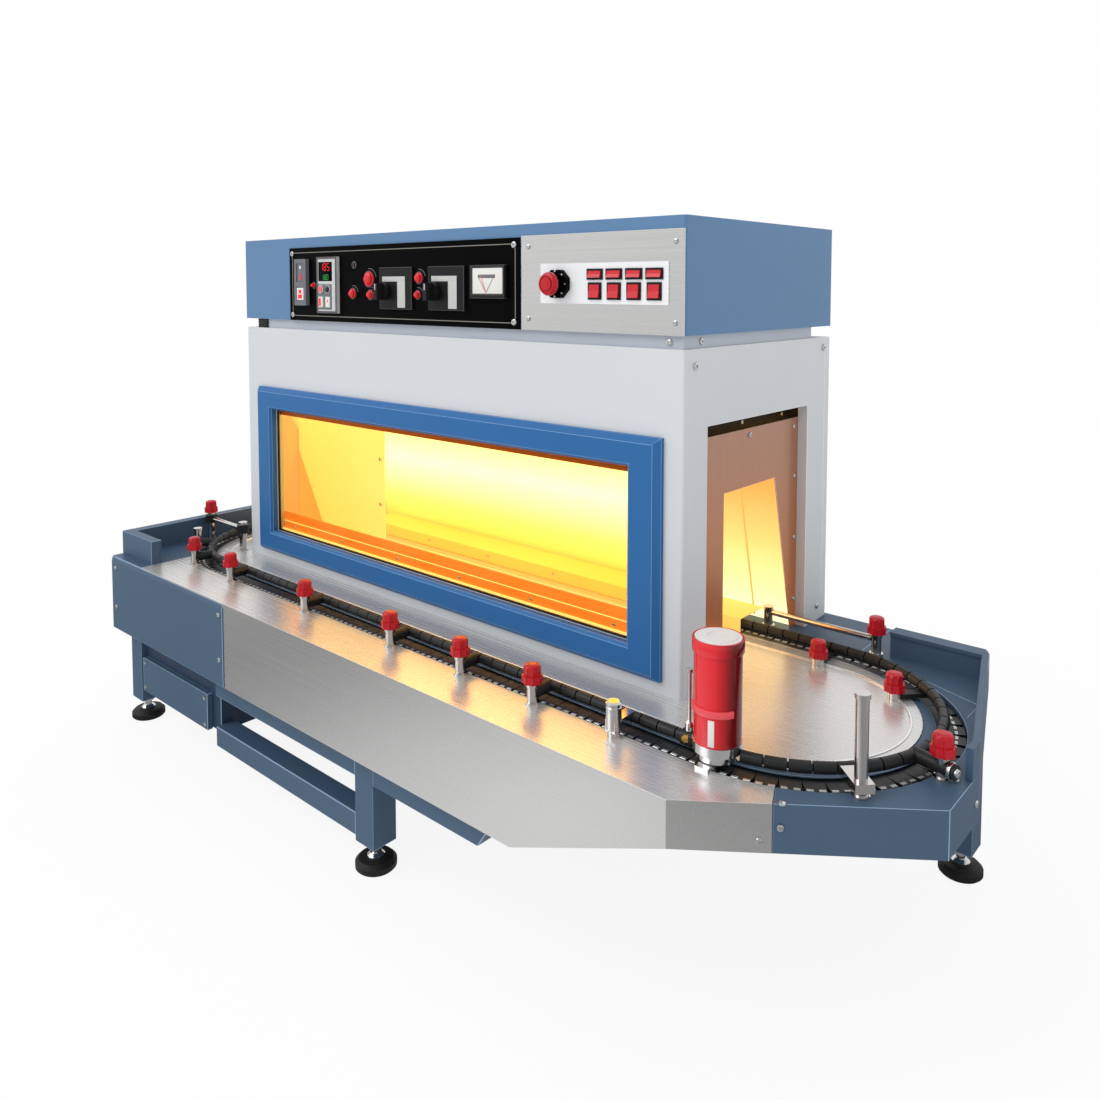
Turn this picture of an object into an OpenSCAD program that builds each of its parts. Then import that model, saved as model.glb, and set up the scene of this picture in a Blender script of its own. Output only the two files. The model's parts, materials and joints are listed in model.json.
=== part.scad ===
/* [Conveyor bed] */
// Overall length of the conveyor bed
bed_l = 2390; // [2200:10:2600]
// Overall width of the conveyor bed, front to back
bed_w = 980; // [900:10:1080]
// Height of the deck above the floor
bed_h = 500; // [450:10:700]
// Thickness of the folded deck sheets
sheet_t = 3; // [2:0.5:5]
// Depth of the front and rear skirts below the deck
skirt_h = 225; // [180:5:230]
// Depth of the narrow edge round the right end
edge_h = 82; // [60:2:120]
// How far the front left panel stands proud of the skirt
panel_proud = 3; // [1:1:6]
// Length of the front left panel
left_panel_l = 655; // [500:5:760]
// Thickness of the plate that carries the chain
bed_plate_t = 16; // [10:1:24]
// Height of the raised wall at the left end
end_wall_h = 70; // [40:5:110]
// Thickness of the raised wall at the left end
end_wall_t = 30; // [20:2:40]
// Height of the rear guard at the right end
guard_h = 56; // [30:2:90]

/* [Chain loop] */
// Distance from the chain's bends to the bed's ends
end_run = 83; // [80:1:110]
// Distance from the chain's front straight to the bed's front edge
front_run = 165; // [160:1:180]
// Distance from the chain's rear straight to the bed's rear edge
rear_run = 248; // [240:1:252]
// Width of the chain's top plates
slat_w = 76.2; // [60:0.1:76.8]
// Thickness of the chain's top plates
slat_t = 6; // [4:0.5:8]
// Pitch of the chain
chain_pitch = 38.1; // [30:0.1:45]
// Gap between the chain's plates and each side of their slot
slot_gap = 1.9; // [1:0.1:5]
// Depth of the slot below the deck
slot_depth = 28; // [24:1:36]
// Overhang of the inner deck over the chain's plates
deck_lip = 28; // [10:1:32]

/* [Guides] */
// Diameter of the roller guide over the chain
guide_d = 21; // [18:1:24]
// Length of one guide roller
roller_l = 35; // [30:1:60]
// Gap between two guide rollers
roller_gap = 3; // [2:0.5:6]
// Diameter of the guide posts
post_d = 22; // [16:1:23]
// Height of the guide posts under their knobs
post_h = 42; // [42:1:50]
// Diameter of the clamp knobs
knob_d = 42; // [34:1:44]
// Height of the clamp knobs
knob_h = 38; // [30:1:46]
// Diameter of the oiler's reservoir
oiler_d = 84; // [70:1:86]
// Height of the oiler's reservoir
oiler_h = 168; // [120:2:220]

/* [Frame] */
// Side of the square legs
leg_w = 65; // [50:1:66]
// Height of the levelling feet
foot_h = 60; // [50:1:90]
// Diameter of the rubber foot pads
pad_d = 95; // [70:1:98]
// Height of the lower rails' underside above the floor
rail_z = 213; // [200:1:220]

/* [Housing] */
// Length of the housing
housing_l = 1590; // [1500:10:1640]
// Width of the housing, front to back
housing_w = 651; // [620:1:700]
// Height of the housing above the deck
housing_h = 700; // [660:10:800]
// Thickness of the insulated panels
wall_t = 25; // [15:1:40]
// Distance from the housing's right face to the bed's right end
housing_right_gap = 528; // [500:2:560]
// Distance from the housing's rear face to the bed's rear edge
housing_rear_gap = 14; // [8:1:30]
// Width of the window opening
window_w = 1314; // [1100:10:1320]
// Height of the window opening
window_h = 368; // [280:2:370]
// Height of the window opening above the deck
window_z = 91; // [85:1:100]
// Width of the window's frame at its sides
frame_side_w = 78; // [50:1:80]
// Width of the window's frame at its top and bottom
frame_bar_h = 64; // [40:1:66]
// How far the window's frame stands proud of the housing
frame_proud = 22; // [12:1:30]
// Width of the tunnel's mouths
mouth_w = 448; // [440:1:456]
// Height of the tunnel's mouths
mouth_h = 540; // [530:2:600]

/* [Control box] */
// Height of the control box
control_h = 235; // [225:1:300]
// Height of the recessed neck under the control box
neck_h = 27; // [15:1:50]
// How far the control box overhangs the housing
control_over = 3; // [1:1:8]
// Diameter of the emergency stop's head
estop_d = 50; // [40:1:56]
// Travel of the emergency stop's head
estop_travel = 5; // [3:0.5:6]
// Width of the selector switches' plates
selector_w = 127; // [110:1:128]
// Diameter of the selector handles
selector_d = 44; // [36:1:48]

/* [Hidden] */
$fn = 64;
eps = 1;
far = 400;
fit_gap = 0.2;
running_gap = 5;

x0 = -bed_l / 2;
x1 = bed_l / 2;
yf = -bed_w / 2 + panel_proud;
yb = bed_w / 2;
deck_z = bed_h;

// Plan of the right end, measured from the bed's front right corner
chamfer_x = 353;
chamfer_y = 270;
end_flat = 147;
rear_taper = 143;
outline = [
  [x0, yf],
  [x1 - chamfer_x, yf],
  [x1, yf + chamfer_y],
  [x1, yf + chamfer_y + end_flat],
  [x1 - rear_taper, yb],
  [x0, yb]
];
skirt_low_x = x1 - chamfer_x - 349;
cover_left_x = x0 + 192;
panel_right_x = x0 + left_panel_l;
joint_angle = -67;

// Chain loop
bend_r = (yb - yf - front_run - rear_run) / 2;
loop_y = yb - rear_run - bend_r;
half_l = x1 - end_run - bend_r;
straight_l = 2 * half_l;
slot_in_r = bend_r - slat_w / 2 - slot_gap;
slot_out_r = bend_r + slat_w / 2 + slot_gap;
slot_wall_t = 4;
slat_drop = 8;
track_z = deck_z - slot_depth;
slat_z = deck_z - slat_drop - slat_t;
link_w = 44;
straight_count = floor(straight_l / chain_pitch);
bend_count = floor(PI * bend_r / chain_pitch);
plate_gap = 1.5;

// Guides
guide_lift = 20;
guide_z = deck_z + guide_lift;
guide_core_d = guide_d - 10;
clamp_d = 26;
collar_h = 8;
flange_h = 4;
low_post_h = 17;
post_out_r = slot_out_r + post_d / 2 + 1;
post_in_r = slot_in_r - post_d / 2 - 14;
oiler_x = half_l + 7;
oiler_y = loop_y - bend_r;
oiler_ring_d = oiler_d + 4;
oiler_foot_h = 6;
oiler_tier_h = 16;
oiler_seat_z = deck_z + oiler_foot_h + 2 * oiler_tier_h;
oiler_cap_h = 12;
oiler_clear = oiler_ring_d / 2 + 1;
hose_clamp_d = guide_d + 8;
hose_clamp_l = 24;
tall_post_h = 172;
plain_post_d = 30;
plain_post_h = 66;
bar_d = 14;
bar_clamp_d = 36;
bar_z = deck_z + 35;
bar_y = loop_y + slot_out_r + 33;

// Frame
under_z = track_z - bed_plate_t;
leg_front_y = yf + sheet_t + 29;
leg_rear_y = yb - sheet_t - 14.5 - leg_w;
leg_left_x = x0 + 45;
leg_mid_x = x0 + 1170;
leg_right_x = x1 - rear_taper - 67.5;
rail_w = 60;
top_rail_h = 50;
top_rail_w = 40;
cantilever_x = half_l - 30;
stretcher_w = 54;
stretcher_z = foot_h + 13;
drive_right_x = x0 + 550;
drive_top_z = deck_z - skirt_h;
drive_low_z = foot_h + 45;

// Housing
hx1 = x1 - housing_right_gap;
hx0 = hx1 - housing_l;
hy1 = yb - housing_rear_gap;
hy0 = hy1 - housing_w;
roof_z = deck_z + housing_h;
corner_r = 6;
win_x1 = hx1 - 124;
win_x0 = win_x1 - window_w;
win_z0 = deck_z + window_z;
glass_t = 6;
glass_in = 8;
mouth_y0 = hy0 + 89;
ceiling_z = deck_z + 480;
liner_top_z = deck_z + 510;
liner_over = 24;
slot_top_z = deck_z + 380;
slot_front_y = loop_y + 63;
slant_low_y = loop_y + slot_out_r + 70;
slant_high_y = loop_y + slot_out_r - 42;
slant_in = 14;

// Control box
bx0 = hx0 - control_over;
bx1 = hx1 + control_over;
by0 = hy0 - control_over;
by1 = hy1 + control_over;
box_z0 = roof_z + neck_h;
neck_left_in = 70;
neck_rear_in = 90;
neck_front_in = 6;
plate_t = 4;
face_y = by0 - plate_t;
black_x0 = bx1 - 1346;
black_x1 = bx1 - 435;
black_h = 206;
switch_x0 = bx1 - 430;
switch_h = 209;
label_x0 = bx1 - 370;
label_w = 335;
label_h = 86;
label_z0 = box_z0 + 60;
label_t = 2;
label_y = face_y - label_t;
estop_x = bx1 - 316;
estop_z = label_z0 + 42;
estop_base_h = 18;
estop_base_w = estop_d + 10;
estop_gap = estop_travel + running_gap;
estop_stem_d = 20;
rocker_x = bx1 - 218;
rocker_step = 50;
rocker_high_z = label_z0 + 62;
rocker_low_z = label_z0 + 27;
selector_h = 107;
selector_t = 6;
selector_z = box_z0 + 92;
selector_xs = [bx1 - 865, bx1 - 675];
handle_dx = -37;
handle_dz = -8;
handle_skirt_h = 10;
handle_grip_h = 20;
handle_grip_w = 14;
shaft_d = 8;
shaft_gap = 0.05;
lamps = [
  [-1224, 100, 14], [-1046, 78, 26], [-976, 116, 40],
  [-970, 75, 24], [-776, 118, 27], [-781, 76, 20]
];

// Plan shapes

function unit(v) = v / norm(v);
function outward(p, q) = let (d = unit(q - p)) [d[1], -d[0]];
function inset(pts, t) = [
  for (i = [0 : len(pts) - 1])
    let (
      a = pts[(i + len(pts) - 1) % len(pts)],
      b = pts[i],
      c = pts[(i + 1) % len(pts)],
      n = outward(a, b),
      m = outward(b, c)
    )
    b - t * (n + m) / (1 + n * m)
];

// A box between two corners
module block(low, high) {
  translate(low)
    cube(high - low);
}

// A straight-sided loop of half width r round the chain's two bend centres
module loop_plan(r, right_cut = 0) {
  translate([-half_l, loop_y - r])
    square([straight_l - right_cut, 2 * r]);
  translate([-half_l, loop_y])
    circle(r, $fn = 128);
  translate([half_l - right_cut, loop_y])
    circle(r, $fn = 128);
}

module loop_ring(r_in, r_out) {
  difference() {
    loop_plan(r_out);
    loop_plan(r_in);
  }
}

// Regions that share out the deck outside the chain's slot
joint_l = (loop_y - yf + far) / -sin(joint_angle);
joint_p = [half_l + joint_l * cos(joint_angle), yf - far];

module front_region() {
  polygon([[cover_left_x, loop_y], [cover_left_x, yf - far], joint_p, [half_l, loop_y]]);
}

module right_region() {
  polygon([[half_l, loop_y], joint_p, [x1 + far, yf - far], [x1 + far, yb + far], [half_l, yb + far]]);
}

module rear_region() {
  polygon([[-half_l, loop_y], [half_l, loop_y], [half_l, yb + far], [-half_l, yb + far]]);
}

module left_region() {
  polygon([
    [cover_left_x, loop_y], [-half_l, loop_y], [-half_l, yb + far], [x0 - far, yb + far],
    [x0 - far, yf - far], [cover_left_x, yf - far]
  ]);
}

// One folded deck sheet: its top, the wall of the chain's slot and the turned-down outer edge
module deck_top() {
  translate([0, 0, deck_z - sheet_t])
    linear_extrude(sheet_t)
      intersection() {
        difference() {
          polygon(outline);
          loop_plan(slot_out_r);
        }
        children();
      }
  translate([0, 0, track_z])
    linear_extrude(slot_depth - sheet_t)
      intersection() {
        loop_ring(slot_out_r, slot_out_r + slot_wall_t);
        children();
      }
}

module deck_edge(depth) {
  translate([0, 0, deck_z - depth])
    linear_extrude(depth - sheet_t)
      intersection() {
        difference() {
          polygon(outline);
          polygon(inset(outline, sheet_t));
        }
        children();
      }
}

// A skirt plate with its lower edge cut up to the narrow edge at the right
module skirt_plate(from_x, to_x, y) {
  translate([0, y + sheet_t, 0])
    rotate([90, 0, 0])
      linear_extrude(sheet_t)
        polygon([
          [from_x, deck_z - sheet_t], [to_x, deck_z - sheet_t], [to_x, deck_z - edge_h],
          [skirt_low_x, deck_z - skirt_h], [from_x, deck_z - skirt_h]
        ]);
}

// Frame

leg_spots = [
  [leg_left_x, leg_front_y], [leg_mid_x, leg_front_y],
  [leg_left_x, leg_rear_y], [leg_mid_x, leg_rear_y], [leg_right_x, leg_rear_y]
];

module at_legs() {
  for (p = leg_spots)
    translate([p[0], p[1], 0])
      children();
}

module legs() {
  color("slategray")
    at_legs()
      translate([0, 0, foot_h])
        cube([leg_w, leg_w, under_z - foot_h]);
}

module foot_pads() {
  color("black")
    at_legs()
      translate([leg_w / 2, leg_w / 2, 0])
        rotate_extrude()
          polygon([
            [0, 0], [pad_d / 2 - 4, 0], [pad_d / 2, 4], [pad_d / 2, 16], [pad_d / 2 - 8, 24],
            [pad_d / 4, 26], [0, 26]
          ]);
}

module foot_studs() {
  color("silver")
    at_legs()
      translate([leg_w / 2, leg_w / 2, 0]) {
        translate([0, 0, 26])
          rotate_extrude()
            polygon([[0, 0], [20, 0], [20, 3], [13, 9], [10, 9], [10, foot_h - 26], [0, foot_h - 26]]);
        translate([0, 0, foot_h - 12])
          cylinder(d = 34, h = 12, $fn = 6);
      }
}

module top_rails() {
  low = under_z - top_rail_h;
  front_y = leg_front_y + (leg_w - top_rail_w) / 2;
  rear_y = leg_rear_y + (leg_w - top_rail_w) / 2;
  color("slategray") {
    for (y = [front_y, rear_y])
      block([leg_left_x + leg_w, y, low], [leg_mid_x, y + top_rail_w, under_z]);
    for (x = [leg_left_x, leg_mid_x])
      translate([x + (leg_w - top_rail_w) / 2, leg_front_y + leg_w, low])
        cube([top_rail_w, leg_rear_y - leg_front_y - leg_w, top_rail_h]);
    block([leg_mid_x + leg_w, front_y, low], [cantilever_x, front_y + top_rail_w, under_z]);
    block([leg_mid_x + leg_w, rear_y, low], [leg_right_x, rear_y + top_rail_w, under_z]);
    block([cantilever_x - top_rail_w, front_y, low], [cantilever_x, rear_y + top_rail_w, under_z]);
  }
}

module lower_rails() {
  rail_top = rail_z + rail_w;
  front_y = leg_front_y;
  rear_y = leg_rear_y;
  color("slategray") {
    block([drive_right_x, front_y, rail_z], [leg_mid_x, front_y + rail_w, rail_top]);
    translate([0, front_y + rail_w, 0])
      rotate([90, 0, 0])
        linear_extrude(rail_w)
          polygon([
            [leg_mid_x + leg_w, rail_z], [skirt_low_x - 118, rail_z],
            [skirt_low_x - 78, rail_top], [leg_mid_x + leg_w, rail_top]
          ]);
    block([leg_left_x + leg_w, rear_y, rail_z], [leg_mid_x, rear_y + rail_w, rail_top]);
    block([leg_mid_x + leg_w, rear_y, rail_z], [leg_right_x, rear_y + rail_w, rail_top]);
    for (x = [leg_left_x, leg_mid_x])
      block([x, leg_front_y + leg_w, rail_z], [x + rail_w, leg_rear_y, rail_top]);
    block(
      [drive_right_x, front_y, stretcher_z],
      [leg_mid_x, front_y + stretcher_w, stretcher_z + stretcher_w]
    );
  }
}

module drive_housing() {
  color("darkslateblue")
    block(
      [leg_left_x + leg_w, leg_front_y + 15, drive_low_z],
      [drive_right_x, leg_front_y + 255, drive_top_z]
    );
}

module drive_cover() {
  color("steelblue")
    block(
      [leg_left_x + leg_w + 9, leg_front_y, drive_low_z - 5],
      [drive_right_x - 46, leg_front_y + 15, drive_low_z + 97]
    );
}

// Conveyor bed

module bed_plate() {
  color("slategray")
    translate([0, 0, under_z])
      linear_extrude(bed_plate_t)
        polygon(inset(outline, sheet_t));
}

module front_skirt() {
  color("lightgray") {
    deck_top()
      front_region();
    deck_edge(edge_h)
      intersection() {
        front_region();
        translate([panel_right_x, yf - eps])
          square([far * 8, far]);
      }
    skirt_plate(panel_right_x, x1 - chamfer_x, yf);
  }
}

module front_left_panel() {
  bevel = panel_proud;
  z_low = deck_z - skirt_h;
  z_high = deck_z - sheet_t;
  color("steelblue") {
    block([x0, yf, z_low], [panel_right_x, yf + sheet_t, z_high]);
    translate([x0, yf, 0])
      rotate([90, 0, 90])
        linear_extrude(left_panel_l)
          polygon([
            [0, z_low], [-panel_proud, z_low + bevel], [-panel_proud, z_high - 4 * bevel], [0, z_high]
          ]);
  }
}

module left_end_tray() {
  color("slategray") {
    deck_top()
      left_region();
    block([x0, yf + sheet_t, deck_z - skirt_h], [x0 + sheet_t, yb - sheet_t, deck_z - sheet_t]);
  }
}

module left_end_wall() {
  front_y = yf + 32;
  color("slategray")
    translate([0, 0, deck_z])
      linear_extrude(end_wall_h)
        polygon([
          [x0, front_y], [cover_left_x, front_y], [cover_left_x, front_y + end_wall_t],
          [x0 + end_wall_t, front_y + end_wall_t], [x0 + end_wall_t, yb - end_wall_t],
          [hx0, yb - end_wall_t], [hx0, yb], [x0, yb]
        ]);
}

module right_end_tray() {
  color("slategray") {
    deck_top()
      right_region();
    deck_edge(edge_h)
      right_region();
  }
}

// The raised guard behind the right bend, with its lip and its return along the right edge
module rear_guard() {
  guard_t = 25;
  return_t = 12;
  return_run = 35;
  lip_h = 8;
  lip_in = 4;
  lip_out = 8;
  y_low = loop_y + slot_out_r + 44;
  y_high = y_low + guard_t;
  x_low = half_l + 60;
  flat_y = yf + chamfer_y + end_flat;
  slope = rear_taper / (yb - flat_y);
  x_low_edge = x1 - slope * (y_low - flat_y);
  x_high_edge = x1 - slope * (y_high - flat_y);
  color("slategray") {
    translate([0, 0, deck_z])
      linear_extrude(guard_h)
        polygon([
          [x_low, y_low], [x_low_edge - return_t, y_low], [x1 - return_t, flat_y],
          [x1 - return_t, flat_y - return_run], [x1, flat_y - return_run], [x1, flat_y],
          [x_high_edge, y_high], [x_low, y_high]
        ]);
    block(
      [x_low, y_low - lip_in, deck_z + guard_h - lip_h],
      [x_low_edge - return_t, y_high + lip_out, deck_z + guard_h]
    );
  }
}

module rear_apron() {
  color("slategray") {
    deck_top()
      rear_region();
    skirt_plate(x0, half_l, yb - sheet_t);
  }
}

module deck_base() {
  color("slategray") {
    translate([0, 0, deck_z - 2 * sheet_t])
      linear_extrude(sheet_t)
        loop_plan(slot_in_r + deck_lip);
    translate([0, 0, track_z])
      linear_extrude(slot_depth - 2 * sheet_t)
        loop_ring(slot_in_r - slot_wall_t, slot_in_r);
  }
}

module deck_plate() {
  crescent = 22;
  color("lightgray")
    translate([0, 0, deck_z - sheet_t])
      linear_extrude(sheet_t)
        loop_plan(slot_in_r + deck_lip - 3, crescent);
}

// Chain

module chain_links() {
  color("dimgray")
    translate([0, 0, track_z])
      linear_extrude(slat_z - track_z)
        loop_ring(bend_r - link_w / 2, bend_r + link_w / 2);
}

// One top plate, narrowed at both ends so that the chain can turn on the bends
module slat(pitch) {
  half_w = slat_w / 2;
  mid = (pitch - plate_gap) / 2;
  tip = mid * (bend_r - half_w) / bend_r - 0.5;
  translate([0, 0, slat_z])
    linear_extrude(slat_t)
      polygon([
        [-mid, -link_w / 4], [-tip, -half_w], [tip, -half_w], [mid, -link_w / 4],
        [mid, link_w / 4], [tip, half_w], [-tip, half_w], [-mid, link_w / 4]
      ]);
}

module chain_slats() {
  step = straight_l / straight_count;
  turn = 180 / bend_count;
  color("black") {
    for (side = [-1, 1])
      for (i = [0 : straight_count - 1])
        translate([-half_l + (i + 0.5) * step, loop_y + side * bend_r, 0])
          slat(step);
    for (side = [-1, 1])
      for (i = [0 : bend_count - 1])
        translate([side * half_l, loop_y, 0])
          rotate(side * ((i + 0.5) * turn - 90))
            translate([side * bend_r, 0, 0])
              rotate(90)
                slat(PI * bend_r / bend_count);
  }
}

// Guides

// A straight run of guide rollers on their core, from x = 0
module roller_run(run_l) {
  count = floor((run_l + roller_gap) / (roller_l + roller_gap));
  step = (run_l + roller_gap) / count;
  roller = step - roller_gap;
  rotate([0, 90, 0])
    rotate_extrude()
      polygon(concat(
        [[0, 0]],
        [for (i = [0 : count - 1]) each concat(
          [[guide_d / 2, i * step], [guide_d / 2, i * step + roller]],
          i < count - 1 ? [[guide_core_d / 2, i * step + roller], [guide_core_d / 2, (i + 1) * step]] : []
        )],
        [[0, run_l]]
      ));
}

// A bend of guide rollers round the origin, from the +X axis
module roller_bend(angle) {
  count = floor(angle * PI / 180 * bend_r / (roller_l + roller_gap));
  step = angle / count;
  roller = step * roller_l / (roller_l + roller_gap);
  for (i = [0 : count - 1])
    rotate(i * step)
      rotate_extrude(angle = roller)
        translate([bend_r, 0])
          circle(d = guide_d);
  rotate_extrude(angle = angle - (step - roller))
    translate([bend_r, 0])
      circle(d = guide_core_d);
}

module guide_rail() {
  end_angle = asin((oiler_x + oiler_clear - half_l) / bend_r) - 90;
  color("black")
    translate([0, 0, guide_z]) {
      translate([-half_l, loop_y - bend_r, 0])
        roller_run(oiler_x - oiler_clear + half_l);
      translate([-half_l, loop_y + bend_r, 0])
        roller_run(straight_l);
      translate([-half_l, loop_y, 0])
        rotate(90)
          roller_bend(180);
      translate([half_l, loop_y, 0])
        rotate(end_angle)
          roller_bend(90 - end_angle);
    }
}

// Posts: those on the front straight by x, those on the bends by side and angle
front_knob_xs = [-half_l + 133, -half_l + 495, -half_l + 836, half_l - 590, half_l - 382];
first_knob_angle = 253;
end_knob_angle = -15;
inner_bend_angle = 47;
tall_post_angle = -43.5;
plain_post_angle = 225;
mouth_post_x = half_l - 40;
plain_post_x = half_l - 180;
bar_post_x = half_l + 33;
bar_inner_x = hx1 - 70;
left_bar_x = x0 + end_wall_t + bar_clamp_d / 2 + 6;
left_bar_shift = 150;
left_bar_lift = 68;
left_bar_post_h = left_bar_lift + clamp_d / 2 + collar_h;
left_inner_run = 116;
left_inner_x = -half_l - left_inner_run;
// The left bar stands in front of the window frame where the housing reaches past its inner post
left_bar_clear = bar_clamp_d / 2 + running_gap;
left_bar_housed = left_inner_x + left_bar_clear > hx0 + eps;
left_bar_y = left_bar_housed ? hy0 - frame_proud - left_bar_clear : loop_y - left_bar_shift;

// Puts a child on the deck beside the chain, its +X toward the guide
module on_bend(side, angle, outer) {
  translate([side * half_l, loop_y, deck_z])
    rotate(angle)
      translate([outer > 0 ? post_out_r : post_in_r, 0, 0])
        rotate(outer > 0 ? 180 : 0)
          children();
}

module on_front(x) {
  translate([x, loop_y - post_out_r, deck_z])
    rotate(90)
      children();
}

module on_mouth() {
  translate([mouth_post_x, loop_y + post_in_r, deck_z])
    rotate(90)
      children();
}

module at_front_knobs() {
  for (x = front_knob_xs)
    on_front(x)
      children();
  on_bend(-1, first_knob_angle, 1)
    children();
}

module at_outer_knobs() {
  at_front_knobs()
    children();
  on_bend(1, end_knob_angle, 1)
    children();
}

module at_inner_knobs() {
  on_bend(1, inner_bend_angle, -1)
    children();
  on_mouth()
    children();
}

module at_left_bar_posts() {
  for (x = [left_bar_x, left_inner_x])
    translate([x, left_bar_y, deck_z])
      children();
}

module at_bar_posts() {
  for (x = [bar_inner_x, bar_post_x])
    translate([x, bar_y, deck_z])
      children();
}

// A post with a flange on the deck and a collar under its knob
module knob_post(h) {
  cylinder(d = post_d, h = h);
  cylinder(d = post_d + 8, h = flange_h);
  translate([0, 0, h - collar_h])
    cylinder(d = post_d + 4, h = collar_h);
}

// A square bright clamp on a post, hollowed for the guide beside it
module square_clamp(w, h) {
  reach = post_out_r - bend_r;
  difference() {
    translate([-w / 2, -w / 2, guide_lift - h / 2])
      cube([w / 2 + reach, w, h]);
    guide_bore(reach, w);
  }
}

module guide_bore(reach, w) {
  translate([reach, 0, guide_lift])
    rotate([90, 0, 0])
      cylinder(d = guide_d + 4 * fit_gap, h = 2 * w, center = true);
}

// A stout capped post on a narrower foot
module plain_post(h) {
  r = plain_post_d / 2;
  rotate_extrude()
    polygon([
      [0, 0], [r - 3, 0], [r - 3, h * 0.18], [r, h * 0.22], [r, h * 0.84], [r - 1, h * 0.86],
      [r - 1, h * 0.9], [r, h * 0.92], [r, h - 3], [r - 4, h], [0, h]
    ]);
  square_clamp(post_d, clamp_d - 4);
}

module guide_posts() {
  bar_post_h = bar_z - deck_z + bar_d;
  tall_clamp_w = post_d + 11;
  tall_clamp_h = 16;
  color("silver") {
    at_outer_knobs()
      knob_post(post_h);
    at_inner_knobs()
      cylinder(d = post_d + 4, h = low_post_h);
    on_front(plain_post_x)
      plain_post(plain_post_h);
    on_bend(-1, plain_post_angle, 1)
      knob_post(plain_post_h);
    at_left_bar_posts()
      knob_post(left_bar_post_h);
    on_bend(1, tall_post_angle, 1) {
      knob_post(tall_post_h);
      square_clamp(tall_clamp_w, tall_clamp_h);
    }
    at_bar_posts()
      knob_post(bar_post_h);
  }
}

// A round cross clamp through an outer post, hollowed for the guide at its inner end
module cross_clamp(tail = 0) {
  reach = post_out_r - bend_r;
  difference() {
    translate([-tail, 0, guide_lift])
      rotate([0, 90, 0])
        cylinder(d = clamp_d, h = tail + reach);
    cylinder(d = post_d + 2 * fit_gap, h = 2 * guide_lift);
    guide_bore(reach, clamp_d);
  }
}

// A round block on a post that holds an end of the left guide bar
module bar_clamp() {
  translate([0, 0, left_bar_lift - clamp_d / 2])
    difference() {
      cylinder(d = bar_clamp_d, h = clamp_d);
      translate([0, 0, -eps])
        cylinder(d = post_d + 2 * fit_gap, h = clamp_d + 2 * eps);
    }
}

// A low clamp block from an inner post to the guide
module low_clamp() {
  reach = bend_r - post_in_r;
  difference() {
    translate([0, -post_d / 2, flange_h])
      cube([reach, post_d, low_post_h - 2 * flange_h]);
    cylinder(d = post_d + 4 + 2 * fit_gap, h = 2 * guide_lift);
    guide_bore(reach, post_d);
  }
}

module guide_clamps() {
  color("black") {
    at_front_knobs()
      cross_clamp();
    on_bend(1, end_knob_angle, 1)
      cross_clamp(post_d / 2 + 14);
    on_bend(-1, plain_post_angle, 1)
      cross_clamp();
    at_inner_knobs()
      low_clamp();
    at_left_bar_posts()
      bar_clamp();
    translate([oiler_x - oiler_clear - hose_clamp_l, loop_y - bend_r, guide_z])
      rotate([0, 90, 0])
        difference() {
          cylinder(d = hose_clamp_d, h = hose_clamp_l);
          translate([0, 0, -eps])
            cylinder(d = guide_d + 2 * fit_gap, h = hose_clamp_l + 2 * eps);
        }
  }
}

// A round bar with fluted sides
module fluted_bar(d, h) {
  lobes = 8;
  linear_extrude(h) {
    circle(d = d * 0.9);
    for (i = [0 : lobes - 1])
      rotate(i * 360 / lobes)
        translate([d * 0.4, 0])
          circle(d = d * 0.2);
  }
}

// A hand knob: a fluted skirt under a narrower fluted cap with a rounded top
module clamp_knob() {
  skirt_h = knob_h * 0.42;
  cap_r = knob_d * 0.41;
  fluted_bar(knob_d, skirt_h);
  intersection() {
    fluted_bar(2 * cap_r, knob_h);
    rotate_extrude()
      polygon([
        [0, 0], [cap_r, 0], [cap_r, knob_h * 0.82], [cap_r * 0.85, knob_h * 0.94],
        [cap_r * 0.5, knob_h], [0, knob_h]
      ]);
  }
}

module clamp_knobs() {
  color("crimson") {
    at_outer_knobs()
      translate([0, 0, post_h])
        clamp_knob();
    at_inner_knobs()
      translate([0, 0, low_post_h])
        clamp_knob();
    translate([bar_post_x, bar_y, bar_z + bar_d])
      clamp_knob();
    translate([left_bar_x, left_bar_y, deck_z + left_bar_post_h])
      clamp_knob();
  }
}

module rear_guide_bar() {
  inner = bar_inner_x + post_d / 2 + fit_gap;
  outer = bar_post_x - post_d / 2 - fit_gap;
  left = left_bar_x + bar_clamp_d / 2 + fit_gap;
  right = left_inner_x - bar_clamp_d / 2 - fit_gap;
  color("silver") {
    translate([inner, bar_y, bar_z])
      rotate([0, 90, 0])
        cylinder(d = bar_d, h = outer - inner);
    translate([left, left_bar_y, deck_z + left_bar_lift])
      rotate([0, 90, 0])
        cylinder(d = bar_d, h = right - left);
  }
}

// Chain oiler

module oiler_reservoir() {
  color("red")
    translate([oiler_x, oiler_y, oiler_seat_z])
      cylinder(d = oiler_d, h = oiler_h);
}

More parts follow.
